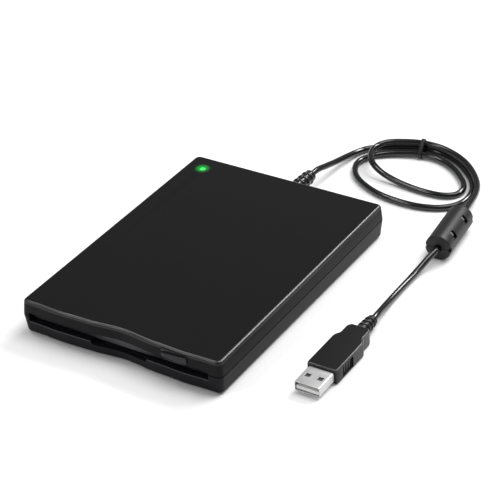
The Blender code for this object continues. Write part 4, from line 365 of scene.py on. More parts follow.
def cube(low, high):
    """A bmesh block between two corners."""
    bm = bmesh.new()
    bmesh.ops.create_cube(bm, size=1.0)
    low, high = Vector(low), Vector(high)
    bmesh.ops.scale(bm, vec=high - low, verts=bm.verts)
    bmesh.ops.translate(bm, vec=(low + high) / 2, verts=bm.verts)
    return bm


AXES = {'X': Matrix.Rotation(math.radians(90.0), 4, 'Y'),
        'Y': Matrix.Rotation(math.radians(-90.0), 4, 'X'),
        'Z': Matrix.Identity(4)}


def drum(axis, radius, low, high, centre, steps=48):
    """A bmesh cylinder along axis, from low to high, through the point centre."""
    bm = bmesh.new()
    bmesh.ops.create_cone(bm, cap_ends=True, segments=steps, radius1=radius, radius2=radius,
                          depth=high - low)
    bmesh.ops.translate(bm, vec=(0.0, 0.0, (low + high) / 2), verts=bm.verts)
    bmesh.ops.transform(bm, matrix=AXES[axis], verts=bm.verts)
    bmesh.ops.translate(bm, vec=centre, verts=bm.verts)
    return bm


def lathe(axis, profile, centre, steps=56):
    """Spin a profile of (radius, height along axis) full round through the point centre."""
    bm = bmesh.new()
    verts = [bm.verts.new((radius, 0.0, height)) for radius, height in profile]
    edges = [bm.edges.new(pair) for pair in zip(verts, verts[1:])]
    bmesh.ops.spin(bm, geom=verts + edges, cent=(0, 0, 0), axis=(0, 0, 1), dvec=(0, 0, 0),
                   angle=math.tau, steps=steps, use_merge=True, use_duplicate=False)
    bmesh.ops.remove_doubles(bm, verts=bm.verts, dist=EPS / 10)
    bmesh.ops.recalc_face_normals(bm, faces=bm.faces)
    bmesh.ops.transform(bm, matrix=AXES[axis], verts=bm.verts)
    bmesh.ops.translate(bm, vec=centre, verts=bm.verts)
    return bm


def prism(points, thickness):
    """A flat outline of points pulled up by the vector thickness."""
    bm = bmesh.new()
    face = bm.faces.new([bm.verts.new(p) for p in points])
    pulled = bmesh.ops.extrude_face_region(bm, geom=[face])
    moved = [v for v in pulled["geom"] if isinstance(v, bmesh.types.BMVert)]
    bmesh.ops.translate(bm, vec=thickness, verts=moved)
    bmesh.ops.recalc_face_normals(bm, faces=bm.faces)
    return bm


def round_edges(bm, chosen, offset, segments):
    """Bevel the edges for which chosen(edge) is true."""
    edges = [e for e in bm.edges if len(e.link_faces) == 2 and chosen(e)]
    bmesh.ops.bevel(bm, geom=edges, offset=offset, offset_type='OFFSET', affect='EDGES',
                    segments=segments, profile=0.5, material=-1)
    return bm


def upright(edge):
    a, b = (v.co for v in edge.verts)
    return abs(a.x - b.x) < EPS and abs(a.y - b.y) < EPS


def rim_at(height):
    """A test for the edges round the flat face at this height, where a wall turns down from it."""
    def test(edge):
        level = all(abs(v.co.z - height) < EPS for v in edge.verts)
        return level and abs(edge.link_faces[0].normal.z - edge.link_faces[1].normal.z) > RIM_TURN
    return test


def along(axis):
    """A test for the edges that run along one axis."""
    def test(edge):
        way = edge.verts[0].co - edge.verts[1].co
        return abs(way[axis]) > way.length * 0.99
    return test


def solid(name, bm):
    """The bmesh as an object in the scene."""
    mesh = bpy.data.meshes.new(name)
    bmesh.ops.recalc_face_normals(bm, faces=bm.faces)
    bm.to_mesh(mesh)
    bm.free()
    made = bpy.data.objects.new(name, mesh)
    bpy.context.scene.collection.objects.link(made)
    return made


CUT, JOIN = 'DIFFERENCE', 'UNION'


def carve(piece, operation, *tools):
    """Cut bmesh tools from a piece, or join them to it, one after another."""
    for bm in tools:
        tool = solid("tool", bm)
        step = piece.modifiers.new("Carve", 'BOOLEAN')
        step.operation, step.object, step.solver = operation, tool, 'EXACT'
        bpy.context.view_layer.update()
        graph = bpy.context.evaluated_depsgraph_get()
        mesh = bpy.data.meshes.new_from_object(piece.evaluated_get(graph))
        piece.modifiers.remove(step)
        old, piece.data = piece.data, mesh
        bpy.data.meshes.remove(old)
        used = tool.data
        bpy.data.objects.remove(tool)
        bpy.data.meshes.remove(used)
    return piece


def finished(piece, body, paint, nodes=(), soften=0.0, segments=2):
    """Give a piece its material and body, soft edges where asked, and smooth shading."""
    piece.data.name = piece.name
    piece.data.materials.clear()
    piece.data.materials.append(paint.material)
    if piece.type == 'MESH':
        piece.data.shade_smooth()
        piece.data.set_sharp_from_angle(angle=SHARP)
    if soften:
        edge = piece.modifiers.new("Soft edges", 'BEVEL')
        edge.width, edge.segments = soften, segments
        edge.limit_method, edge.angle_limit = 'ANGLE', SHARP
        edge.use_clamp_overlap = True
        edge.harden_normals = True
    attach(piece, body)
    if nodes:
        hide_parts(*nodes)
    return piece


def dress(paint, *nodes):
    """Give CAD nodes that stay on show their finished material."""
    for name in nodes:
        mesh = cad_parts[name].data
        mesh.materials.clear()
        mesh.materials.append(paint.material)


def wave(x):
    """How far the front face stands behind its plane at x; less than zero is a bulge."""
    reach = abs(x - WAVE_CENTRE)
    if reach <= WAVE_HALF:
        return WAVE_RECESS * math.cos(reach / WAVE_HALF * math.pi / 2) ** 2
    if reach >= WAVE_REACH:
        return 0.0
    return -WAVE_BULGE * math.sin(math.pi * (reach - WAVE_HALF) / (WAVE_REACH - WAVE_HALF)) ** 2


def case_body(low, high, draft, settings, fillet, far):
    """One shell's outer body: a rounded block with a wavy front, drawn in at its far face."""
    half = settings.width / 2
    bm = cube((-half, FRONT, low), (half, BACK, high))
    round_edges(bm, upright, settings.corner, 10)
    run = half - settings.corner
    for k in range(1, WAVE_CUTS):
        x = -run + 2 * run * k / WAVE_CUTS
        bmesh.ops.bisect_plane(bm, geom=list(bm.verts) + list(bm.edges) + list(bm.faces),
                               plane_co=(x, 0.0, 0.0), plane_no=(1.0, 0.0, 0.0), dist=EPS / 10)
    for vert in bm.verts:
        if abs(vert.co.y - FRONT) < EPS:
            vert.co.y += wave(vert.co.x)
    edge = [v for v in bm.verts if abs(v.co.z - far) < EPS]
    middle = (FRONT + BACK) / 2
    bmesh.ops.translate(bm, vec=(0.0, -middle, 0.0), verts=edge)
    bmesh.ops.scale(bm, vec=(1 - draft / half, 1 - 2 * draft / (BACK - FRONT), 1.0), verts=edge)
    bmesh.ops.translate(bm, vec=(0.0, middle, 0.0), verts=edge)
    bm.normal_update()
    return round_edges(bm, rim_at(far), fillet, 6)


def slot_cutter():
    return cube((SLOT_X[0], FRONT - OVERRUN, SLOT_Z[0]),
                (SLOT_X[1], FRONT + FRONT_WALL + GAP, SLOT_Z[1]))


def relief_cutter():
    return drum('Y', RELIEF_BORE, BACK - SIDE_WALL - OVERRUN, BACK + OVERRUN,
                (RELIEF_AXIS.x, 0.0, SEAM))


def hollow(half, low, high, grow=0.0, front_grow=None):
    """The space inside the walls between two heights, larger all round by grow."""
    ahead = grow if front_grow is None else front_grow
    bm = cube((-half - grow, FRONT + FRONT_WALL - ahead, low),
              (half + grow, BACK - SIDE_WALL + grow, high))
    return round_edges(bm, upright, INNER_CORNER + grow, 4)


def seat_of(name):
    """The box of a round node as the X and Y of its middle, its radius and its two heights."""
    a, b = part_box(name)
    return (a.x + b.x) / 2, (a.y + b.y) / 2, (b.x - a.x) / 2, a.z, b.z


class CaseSettings(bpy.types.PropertyGroup):
    width: FloatProperty(name="Width", description="Width of the case at its seam",
                         default=TOP_HIGH.x - TOP_LOW.x, unit='LENGTH')
    corner: FloatProperty(name="Corner radius", description="Radius of the upright corners",
                          default=2.7 * MM, unit='LENGTH')
    roof_fillet: FloatProperty(name="Roof fillet", description="Radius round the roof's edge",
                               default=1.45 * MM, unit='LENGTH')
    floor_fillet: FloatProperty(name="Floor fillet", description="Radius round the floor's edge",
                                default=0.7 * MM, unit='LENGTH')
    edge: FloatProperty(name="Edge break", description="Softness of the cut edges",
                        default=0.16 * MM, unit='LENGTH')
    roof_colour: FloatVectorProperty(name="Roof colour", description="Colour of the upper shell",
                                     default=(0.0105, 0.0105, 0.0107), subtype='COLOR')
    base_colour: FloatVectorProperty(name="Base colour", description="Colour of the lower shell",
                                     default=(0.0110, 0.0110, 0.0130), subtype='COLOR')


class LightSettings(bpy.types.PropertyGroup):
    colour: FloatVectorProperty(name="Light", description="Colour of the indicator",
                                default=(0.02, 0.62, 0.08), subtype='COLOR')
    strength: FloatProperty(name="Strength", description="Brightness of the lens", default=0.85)
    glow_strength: FloatProperty(name="Glow", description="Brightness of the spill on the roof",
                                 default=0.62)
    glow_reach: FloatProperty(name="Glow reach", description="How far the spill reaches",
                              default=4.8 * MM, unit='LENGTH')


class CordSettings(bpy.types.PropertyGroup):
    diameter: FloatProperty(name="Diameter", description="Thickness of the cord's jacket",
                            default=3.1 * MM, unit='LENGTH')
    colour: FloatVectorProperty(name="Jacket", description="Colour of the jacket",
                                default=(0.0042, 0.0042, 0.0045), subtype='COLOR')
    tie_width: FloatProperty(name="Tie width", description="Width of the wire tie",
                             default=1.8 * MM, unit='LENGTH')


class ChokeSettings(bpy.types.PropertyGroup):
    fillet: FloatProperty(name="End fillet", description="Radius round the choke's end rims",
                          default=0.7 * MM, unit='LENGTH')
    colour: FloatVectorProperty(name="Choke", description="Colour of the choke's case",
                                default=(0.014, 0.014, 0.015), subtype='COLOR')


class PlugSettings(bpy.types.PropertyGroup):
    edge: FloatProperty(name="Edge radius", description="Radius round the grip's long edges",
                        default=0.8 * MM, unit='LENGTH')
    colour: FloatVectorProperty(name="Grip", description="Colour of the moulded grip",
                                default=(0.0095, 0.0095, 0.0100), subtype='COLOR')


class StageSettings(bpy.types.PropertyGroup):
    floor: FloatVectorProperty(name="Floor", description="Colour of the floor",
                               default=(0.92, 0.92, 0.92), subtype='COLOR')
    lit_floor: FloatProperty(name="Lit floor", description="Brightness of the backlit floor",
                             default=0.03)
    overhead: FloatProperty(name="Overhead light", description="Power of the soft light above",
                            default=13.0, unit='POWER')
    key: FloatProperty(name="Key light", description="Power of the light behind the drive",
                       default=18.0, unit='POWER')
    crown: FloatProperty(name="Crown light", description="Power of the strip over the left side",
                         default=3.2, unit='POWER')
    front: FloatProperty(name="Front light", description="Power of the light from the front",
                         default=2.4, unit='POWER')
    lens: FloatProperty(name="Lens", description="Focal length of the camera, on 36 mm",
                        default=137.07, unit='CAMERA')


def told(context):
    return context.scene.floppy_drive


class DriveSettings(bpy.types.PropertyGroup):
    case: PointerProperty(type=CaseSettings, name="Case", description="Sizes of the case")
    light: PointerProperty(type=LightSettings, name="Light", description="Indicator light")
    cord: PointerProperty(type=CordSettings, name="Cord", description="Cord and tie")
    choke: PointerProperty(type=ChokeSettings, name="Choke", description="Choke on the cord")
    plug: PointerProperty(type=PlugSettings, name="Plug", description="Plug")
    stage: PointerProperty(type=StageSettings, name="Stage", description="Floor and lights")


class FLOPPY_OT_top_shell(bpy.types.Operator):
    """Make the upper shell with its wavy front, slot edge, button window and light hole"""
    bl_idname = "floppy.top_shell"
    bl_label = "Upper shell"

    def execute(self, context):
        case, light = told(context).case, told(context).light
        shell = solid("upper_shell", case_body(SEAM + SEAM_GAP / 2, ROOF_TOP, ROOF_DRAFT, case,
                                               case.roof_fillet, ROOF_TOP))
        half = case.width / 2 - SIDE_WALL
        inner_y = FRONT + FRONT_WALL
        carve(shell, CUT, hollow(half, 0.0, CEILING), hollow(half, 0.0, SEAM + LAP, LAP),
              slot_cutter())
        for x in ((-half - GAP, SLOT_X[0]), (SLOT_X[1], SLOT_X[1] + EAR_LENGTH)):
            carve(shell, JOIN, cube((x[0], inner_y - GAP, EAR_BOTTOM),
                                    (x[1], inner_y + EAR_DEPTH, CEILING + GAP)))
        for end, sign in zip(SLOT_X, (-1, 1)):
            hole = sorted((end + sign * PIN_HOLE, end - sign * GAP))
            carve(shell, CUT, drum('X', PIN_BORE, *hole, (0.0, HINGE_Y, HINGE_Z), 24))
        window = cube((BUTTON_LOW.x - GAP, FRONT - OVERRUN, SLOT_Z[0] + GAP),
                      (BUTTON_HIGH.x + GAP, inner_y + GAP, BUTTON_HIGH.z + GAP))
        carve(shell, CUT, round_edges(window, along(1), WINDOW_CORNER, 4),
              drum('Z', LIGHT_BORE, CEILING - OVERRUN, ROOF_TOP + OVERRUN, (*LIGHT_SPOT, 0.0)),
              relief_cutter())
        for sign in (-1, 1):
            spot = (sign * SCREW_X, SCREW_Y, 0.0)
            carve(shell, JOIN, drum('Z', BOSS_RADIUS, FLOOR_TOP + GAP, CEILING + GAP, spot, 32))
            carve(shell, CUT, drum('Z', SCREW_BORE, 0.0, BOSS_HOLE_TOP, spot, 24))
        paint = glowing_roof(moulding("satin_black", case.roof_colour, 0.32, 0.004, 0.25, 0.04,
                                      specular=0.07), light)
        polished_rim(paint, ROOF_TOP, case.roof_fillet)
        finished(shell, "case", paint, ["top_cover"], case.edge)
        return {'FINISHED'}


class FLOPPY_OT_base_shell(bpy.types.Operator):
    """Make the lower shell with its tongue, slot sill, thumb notch and foot recesses"""
    bl_idname = "floppy.base_shell"
    bl_label = "Lower shell"

    def execute(self, context):
        case = told(context).case
        low, inner = BASE_LOW.z, case.width / 2 - SIDE_WALL
        shell = solid("lower_shell", case_body(low, SEAM - SEAM_GAP / 2, BASE_DRAFT, case,
                                               case.floor_fillet, low))
        notch = cube((NOTCH_X[0], FRONT - OVERRUN, SLOT_Z[0] - NOTCH_DEPTH),
                     (NOTCH_X[1], FRONT + FRONT_WALL + GAP, SLOT_Z[0] + GAP))
        round_edges(notch, lambda e: along(1)(e) and e.verts[0].co.z < SLOT_Z[0], NOTCH_CORNER, 5)
        carve(shell, JOIN, hollow(inner, FLOOR_TOP, SEAM + LIP, LIP, LIP_FRONT))
        carve(shell, CUT, hollow(inner, FLOOR_TOP, ROOF_TOP), slot_cutter(), notch,
              relief_cutter())
        for name in FEET:
            spot = (*seat_of(name)[:2], 0.0)
            carve(shell, CUT, drum('Z', FOOT_RADIUS + GAP, -OVERRUN, low + FOOT_SEAT, spot, 48))
        for sign in (-1, 1):
            spot = (sign * SCREW_X, SCREW_Y, 0.0)
            carve(shell, CUT, drum('Z', HEAD_BORE, -OVERRUN, low + HEAD_SEAT, spot, 32),
                  drum('Z', SCREW_BORE, -OVERRUN, FLOOR_TOP + OVERRUN, spot, 24))
        paint = moulding("textured_black", case.base_colour, 0.36, 0.010, 0.30, 0.08,
                         specular=0.07)
        polished_rim(paint, SLOT_Z[0], 0.5 * MM, span=SLOT_X)
        finished(shell, "case", paint, ["bottom_cover"], 1.6 * case.edge, 3)
        return {'FINISHED'}


class FLOPPY_OT_eject_button(bpy.types.Operator):
    """Make the eject button: a crowned leaf-shaped pad, a shelf above it and a stem"""
    bl_idname = "floppy.eject_button"
    bl_label = "Eject button"

    def execute(self, context):
        case = told(context).case
        x0, x1 = BUTTON_LOW.x, BUTTON_HIGH.x
        wide = x1 - x0
        body = cube((x0 - SHELF_MORE, FRONT + SHELF_FRONT, BUTTON_LOW.z),
                    (x1, FRONT + SHELF_BACK, BUTTON_HIGH.z + SHELF_MORE))
        button = solid("eject_key", round_edges(body, along(1), 0.4 * MM, 4))
        rim = [(u, low) for u, low, _ in PAD_SHARES]
        rim += [(u, high) for u, _, high in reversed(PAD_SHARES)]
        pad = prism([(x0 + wide * u, FRONT + PAD_ROOT, BUTTON_LOW.z + PAD_HEIGHT * v)
                     for u, v in rim], (0.0, BUTTON_LOW.y - FRONT - PAD_ROOT, 0.0))
        pad.normal_update()
        for vert in pad.verts:
            if vert.co.y < FRONT:
                share = (vert.co.x - x0) / wide
                vert.co.y += PAD_SWEEP * (1 - min(1.0, share / 0.45)) ** 2
                vert.co.y += PAD_RETURN * max(0.0, (share - 0.65) / 0.35) ** 2
        round_edges(pad, lambda e: all(v.co.y < FRONT + EPS for v in e.verts)
                    and min(abs(f.normal.y) for f in e.link_faces) < 0.5, 0.42 * MM, 4)
        carve(button, JOIN, pad, cube((x0 + STEM_INSET, FRONT + STEM_FRONT, STEM_Z[0]),
                                      (x1 - STEM_INSET, BUTTON_HIGH.y, STEM_Z[1])))
        paint = moulding("button_black", case.base_colour, 0.26, 0.004, 0.25, 0.06, specular=0.3)
        finished(button, "button", paint, ["eject_button"], 0.08 * MM)
        return {'FINISHED'}


class FLOPPY_OT_dust_door(bpy.types.Operator):
    """Make the dust door that closes the slot from inside, on its hinge barrel"""
    bl_idname = "floppy.dust_door"
    bl_label = "Dust door"

    def execute(self, context):
        case = told(context).case
        x0, x1 = SLOT_X[0] + GAP, SLOT_X[1] - GAP
        barrel, pin, leaf = 0.5 * MM, 0.45 * MM, 0.4 * MM  # radii, and half the flap's thickness
        hinge = (0.0, HINGE_Y, HINGE_Z)
        flap = cube((x0, HINGE_Y - leaf, DOOR_LOW.z), (x1, HINGE_Y + leaf, HINGE_Z))
        round_edges(flap, lambda e: along(0)(e) and e.verts[0].co.z < HINGE_Z - EPS, 0.3 * MM, 4)
        door = solid("slot_flap", flap)
        carve(door, JOIN, drum('X', barrel, x0, x1, hinge, 24),
              drum('X', pin, DOOR_LOW.x, DOOR_HIGH.x, hinge, 20))
        # The door's colour is the base's colour made 3.2 times lighter. This is painted fill
        # light, so the door doesn't go black in the slot's shade.
        paint = moulding("door_black", shade(case.base_colour, 3.2)[:3], 0.35, 0.008, 0.3, 0.08,
                         specular=0.5)
        finished(door, "door", paint, ["dust_door"], 0.05 * MM)
        return {'FINISHED'}


class FLOPPY_OT_indicator(bpy.types.Operator):
    """Make the lit lens in the roof and the light pipe under it"""
    bl_idname = "floppy.indicator"
    bl_label = "Indicator light"

    def execute(self, context):
        light = told(context).light
        top, under = PIPE_HIGH.z, CEILING - GAP
        radius, rise, flange, thick = 1.5 * MM, 0.35 * MM, 2.4 * MM, 0.8 * MM
        dome = [(radius * math.sin(math.radians(a)),
                 top - rise + rise * math.cos(math.radians(a))) for a in range(0, 91, 10)]
        profile = dome + [(radius, under), (flange, under), (flange, under - thick),
                          (radius, under - thick), (radius, PIPE_LOW.z), (0.0, PIPE_LOW.z)]
        lens = solid("light_lens", lathe('Z', profile, (*LIGHT_SPOT, 0.0), 40))
        finished(lens, "case", lens_paint("lit_lens", light.colour, light.strength),
                 ["light_pipe"])
        return {'FINISHED'}


def sleeve(start, end, root, tip, ribs, rise):
    """Profile of a soft ribbed sleeve along an axis, listed from its tip to its root."""
    steps = 12 * ribs
    points = []
    for k in range(steps + 1):
        share = k / steps
        crest = max(0.0, math.cos(math.tau * (share * ribs - 0.22))) ** 0.6
        points.append((root + (tip - root) * share + rise * crest, start + (end - start) * share))
    return list(reversed(points))


class FLOPPY_OT_strain_relief(bpy.types.Operator):
    """Make the ribbed strain relief that holds the cord in the back wall"""
    bl_idname = "floppy.strain_relief"
    bl_label = "Strain relief"

    def execute(self, context):
        cord = told(context).cord
        inner, outer = BACK - SIDE_WALL - GAP, BACK + GAP
        tip, bore, deep = RELIEF_HIGH.y, cord.diameter / 2 - BITE, 2.5 * MM
        collar, length, rim = 4.1 * MM, 2.1 * MM, 0.2 * MM
        neck, flange, back = 3.1 * MM, 4.6 * MM, inner - 1.7 * MM
        profile = ([(bore, tip - deep), (bore, tip), (2.4 * MM, tip), (2.7 * MM, tip - GAP)]
                   + sleeve(outer + 2.3 * MM, tip - 0.9 * MM, 3.4 * MM, 2.75 * MM, 4, 0.65 * MM)
                   + [(collar - rim, outer + length), (collar, outer + length - rim),
                      (collar, outer + rim), (collar - rim, outer), (neck, outer), (neck, inner),
                      (flange, inner), (flange, back), (0.0, back), (0.0, tip - deep),
                      (bore, tip - deep)])
        relief = solid("cord_relief", lathe('Y', profile, RELIEF_AXIS))
        finished(relief, "case", jacket_paint("relief_black", cord.colour),
                 ["strain_relief"])
        return {'FINISHED'}


PATH_STEPS = 24            # fine points between two of a route's points
CORD_POINTS, CORE_POINTS = 520, 60
BITE = 0.05 * MM           # how far a moulded sleeve bites into the jacket


def smooth_path(route, count):
    """Points at equal steps along a smooth curve through the route's points."""
    points = [Vector(p) for p in route]
    points = [2 * points[0] - points[1]] + points + [2 * points[-1] - points[-2]]
    fine = []
    for k in range(1, len(points) - 2):
        quad = points[k - 1:k + 3]
        knots = [0.0]
        for a, b in zip(quad, quad[1:]):
            knots.append(knots[-1] + math.sqrt((b - a).length))
        spans = (list(zip(knots, knots[1:])), list(zip(knots, knots[2:])),
                 [(knots[1], knots[2])])
        for j in range(PATH_STEPS):
            t, row = knots[1] + (knots[2] - knots[1]) * j / PATH_STEPS, quad
            for span in spans:
                row = [a.lerp(b, (t - low) / (high - low))
                       for a, b, (low, high) in zip(row, row[1:], span)]
            fine.append(row[0])
    fine.append(points[-2])
    runs = [0.0]
    for a, b in zip(fine, fine[1:]):
        runs.append(runs[-1] + (b - a).length)
    path, k = [], 0
    for j in range(count):
        goal = runs[-1] * j / (count - 1)
        while k < len(runs) - 2 and runs[k + 1] < goal:
            k += 1
        path.append(fine[k].lerp(fine[k + 1], (goal - runs[k]) / (runs[k + 1] - runs[k])))
    return path, runs[-1]


def cord_path(diameter):
    """The cord's whole centre line, through the choke, and its length."""
    straight = Vector((0.0, diameter, 0.0))
    start = Vector((RELIEF_AXIS.x, RELIEF_HIGH.y - 2.0 * MM, SEAM))
    axis = Vector((-math.sin(CHOKE_TURN), math.cos(CHOKE_TURN), 0.0))
    back, ahead = CHOKE_MIDDLE + axis * CHOKE_HALF, CHOKE_MIDDLE - axis * CHOKE_HALF
    end = Vector((PLUG_AXIS.x, PLUG_HIGH.y - 2.0 * MM, PLUG_AXIS.z))
    route = ([start, start + straight] + [Vector(p) for p in LEAD_ROUTE + COIL_ROUTE]
             + [back + axis * 2 * diameter, back + axis * diameter, back, CHOKE_MIDDLE, ahead,
                ahead - axis * diameter / 2] + [Vector(p) for p in TAIL_ROUTE]
             + [end + straight * 1.6, end])
    return smooth_path(route, CORD_POINTS)


def tube(name, path, radius, resolution):
    """A round tube along the points of a path, as an object in the scene."""
    curve = bpy.data.curves.new(name, 'CURVE')
    curve.dimensions, curve.fill_mode, curve.use_fill_caps = '3D', 'FULL', True
    curve.bevel_depth, curve.bevel_resolution = radius, resolution
    spline = curve.splines.new('POLY')
    spline.points.add(len(path) - 1)
    spline.use_smooth = True
    for point, spot in zip(spline.points, path):
        point.co = (*spot, 1.0)
    made = bpy.data.objects.new(name, curve)
    bpy.context.scene.collection.objects.link(made)
    return made


class FLOPPY_OT_cord(bpy.types.Operator):
    """Lay the cord from the strain relief through its loops and the choke to the plug"""
    bl_idname = "floppy.cord"
    bl_label = "Cord"

    def execute(self, context):
        cord = told(context).cord
        path, _ = cord_path(cord.diameter)
        jacket = tube("cord", path, cord.diameter / 2, 5)
        finished(jacket, "case", jacket_paint("cord_jacket", cord.colour),
                 ["cord_lead", "cord_coil", "cord_tail"])
        return {'FINISHED'}


class FLOPPY_OT_cord_pieces(bpy.types.Operator):
    """Work out the cord's centre line and length, and make nothing from them"""
    bl_idname = "floppy.cord_pieces"
    bl_label = "Cord's pieces"

    def execute(self, context):
        diameter = told(context).cord.diameter
        path, length = cord_path(diameter)
        return {'FINISHED'}


def band_outline(strands, radius):
    """The outline of a band pulled round circles of one radius, in the plane across it."""
    steps = 10                 # points round each circle
    middle = sum((Vector(s) for s in strands), Vector((0.0, 0.0))) / len(strands)
    ring = sorted(strands, key=lambda s: math.atan2(s[1] - middle.y, s[0] - middle.x))
    outline = []
    for k, spot in enumerate(ring):
        before, after = ring[k - 1], ring[(k + 1) % len(ring)]
        start = math.atan2(spot[1] - before[1], spot[0] - before[0]) - math.pi / 2
        end = math.atan2(after[1] - spot[1], after[0] - spot[0]) - math.pi / 2
        while end < start:
            end += math.tau
        outline += [(spot[0] + radius * math.cos(start + (end - start) * j / steps),
                     spot[1] + radius * math.sin(start + (end - start) * j / steps))
                    for j in range(steps + 1)]
    return outline


class FLOPPY_OT_wire_tie(bpy.types.Operator):
    """Wrap the wire tie round the three strands of the loops"""
    bl_idname = "floppy.wire_tie"
    bl_label = "Wire tie"

    def execute(self, context):
        cord = told(context).cord
        path, _ = cord_path(cord.diameter)
        centre = TIE_PLACE
        way = Vector((math.cos(TIE_TURN), math.sin(TIE_TURN), 0.0))
        across = Vector((-way.y, way.x, 0.0))
        strands = []
        for a, b in zip(path, path[1:]):
            near, far = (a - centre).dot(way), (b - centre).dot(way)
            if near * far <= 0 and near != far:
                spot = a.lerp(b, near / (near - far))
                if abs((spot - centre).dot(across)) < TIE_REACH:
                    strands.append(((spot - centre).dot(across), spot.z))

        def ring(radius):
            return [centre + across * u + Vector((0.0, 0.0, v)) - way * cord.tie_width / 2
                    for u, v in band_outline(strands, cord.diameter / 2 + radius)]

        band = solid("wire_tie", prism(ring(TIE_OUTER), way * cord.tie_width))
        hole = prism([p - way * OVERRUN for p in ring(TIE_INNER)],
                     way * (cord.tie_width + 2 * OVERRUN))
        carve(band, CUT, hole)
        finished(band, "case", moulding("tie_black", cord.colour, 0.35, 0.01, 0.4),
                 ["cable_tie"], 0.12 * MM)
        return {'FINISHED'}


def on_choke(bm):
    """Set a bmesh that was made round the origin on the choke's own place and line."""
    place = Matrix.Translation(CHOKE_MIDDLE) @ Matrix.Rotation(CHOKE_TURN, 4, 'Z')
    bmesh.ops.transform(bm, matrix=place, verts=bm.verts)
    return bm


class FLOPPY_OT_choke(bpy.types.Operator):
    """Make the two latched halves of the choke's case"""
    bl_idname = "floppy.choke"
    bl_label = "Choke"

    def execute(self, context):
        choke, cord = told(context).choke, told(context).cord
        paint = moulding("choke_grey", choke.colour, 0.42, 0.014, 0.35, 0.14, specular=0.34)
        light = moulding("choke_latch", shade(choke.colour, 12.0)[:3], 0.3, 0.01, 0.35)
        outer, half, bore = CHOKE_RADIUS, CHOKE_HALF, cord.diameter / 2 + 0.25 * MM
        inner, fillet = outer - CHOKE_WALL, choke.fillet
        bend = [math.radians(a) for a in range(0, 91, 15)]
        rim = [(outer - fillet + fillet * math.sin(a), half - fillet + fillet * math.cos(a))
               for a in bend]
        rings = [(outer, y * MM) for y in CHOKE_RINGS]
        turn = Matrix.Rotation(-WINDOW_TILT, 4, 'Y')
        profile = ([(bore, half)] + rim + rings + [(r, -h) for r, h in reversed(rim)]
                   + [(bore, -half), (bore, half)])
        for name, node, sign in (("choke_top", "choke_upper", 1),
                                 ("choke_bottom", "choke_lower", -1)):
            shell = solid(name, on_choke(lathe('Y', profile, (0.0, 0.0, 0.0), 90)))
            reach = 2 * outer
            z = (-reach, CHOKE_SPLIT) if sign > 0 else (-CHOKE_SPLIT, reach)
            room = half - CHOKE_END_WALL
            carve(shell, CUT, on_choke(drum('Y', inner, -room, room, (0.0, 0.0, 0.0), 64)),
                  on_choke(cube((-reach, -reach * 2, z[0]), (reach, reach * 2, z[1]))))
            for sx, sy in ((-1, -1), (-1, 1), (1, -1), (1, 1)):
                x = sorted((sx * (outer + OVERRUN), sx * (outer - CHOKE_WALL)))
                y = sorted((sy * (half + OVERRUN), sy * (half - LATCH_NOTCH)))
                carve(shell, CUT, on_choke(cube((x[0], y[0], -LATCH_HALF),
                                                (x[1], y[1], LATCH_HALF))))
            for y in WINDOW_PLACES if sign > 0 else ():
                cutter = cube((inner - GAP, y - WINDOW_HALF, WINDOW_SPAN[0]),
                              (outer + OVERRUN, y + WINDOW_HALF, WINDOW_SPAN[1]))
                bmesh.ops.transform(cutter, matrix=turn, verts=cutter.verts)
                carve(shell, CUT, on_choke(cutter))
            finished(shell, "case", paint, [node], 0.14 * MM)
        for k, y in enumerate(WINDOW_PLACES):
            hook = cube((inner - HOOK_BITE, y + HOOK_Y[0], HOOK_SPAN[0]),
                        (outer - HOOK_SINK, y + HOOK_Y[1], HOOK_SPAN[1]))
            round_edges(hook, lambda e: True, 0.15 * MM, 2)
            bmesh.ops.transform(hook, matrix=turn, verts=hook.verts)
            piece = solid("choke_hook_%d" % k, on_choke(hook))
            finished(piece, "case", light)
        return {'FINISHED'}


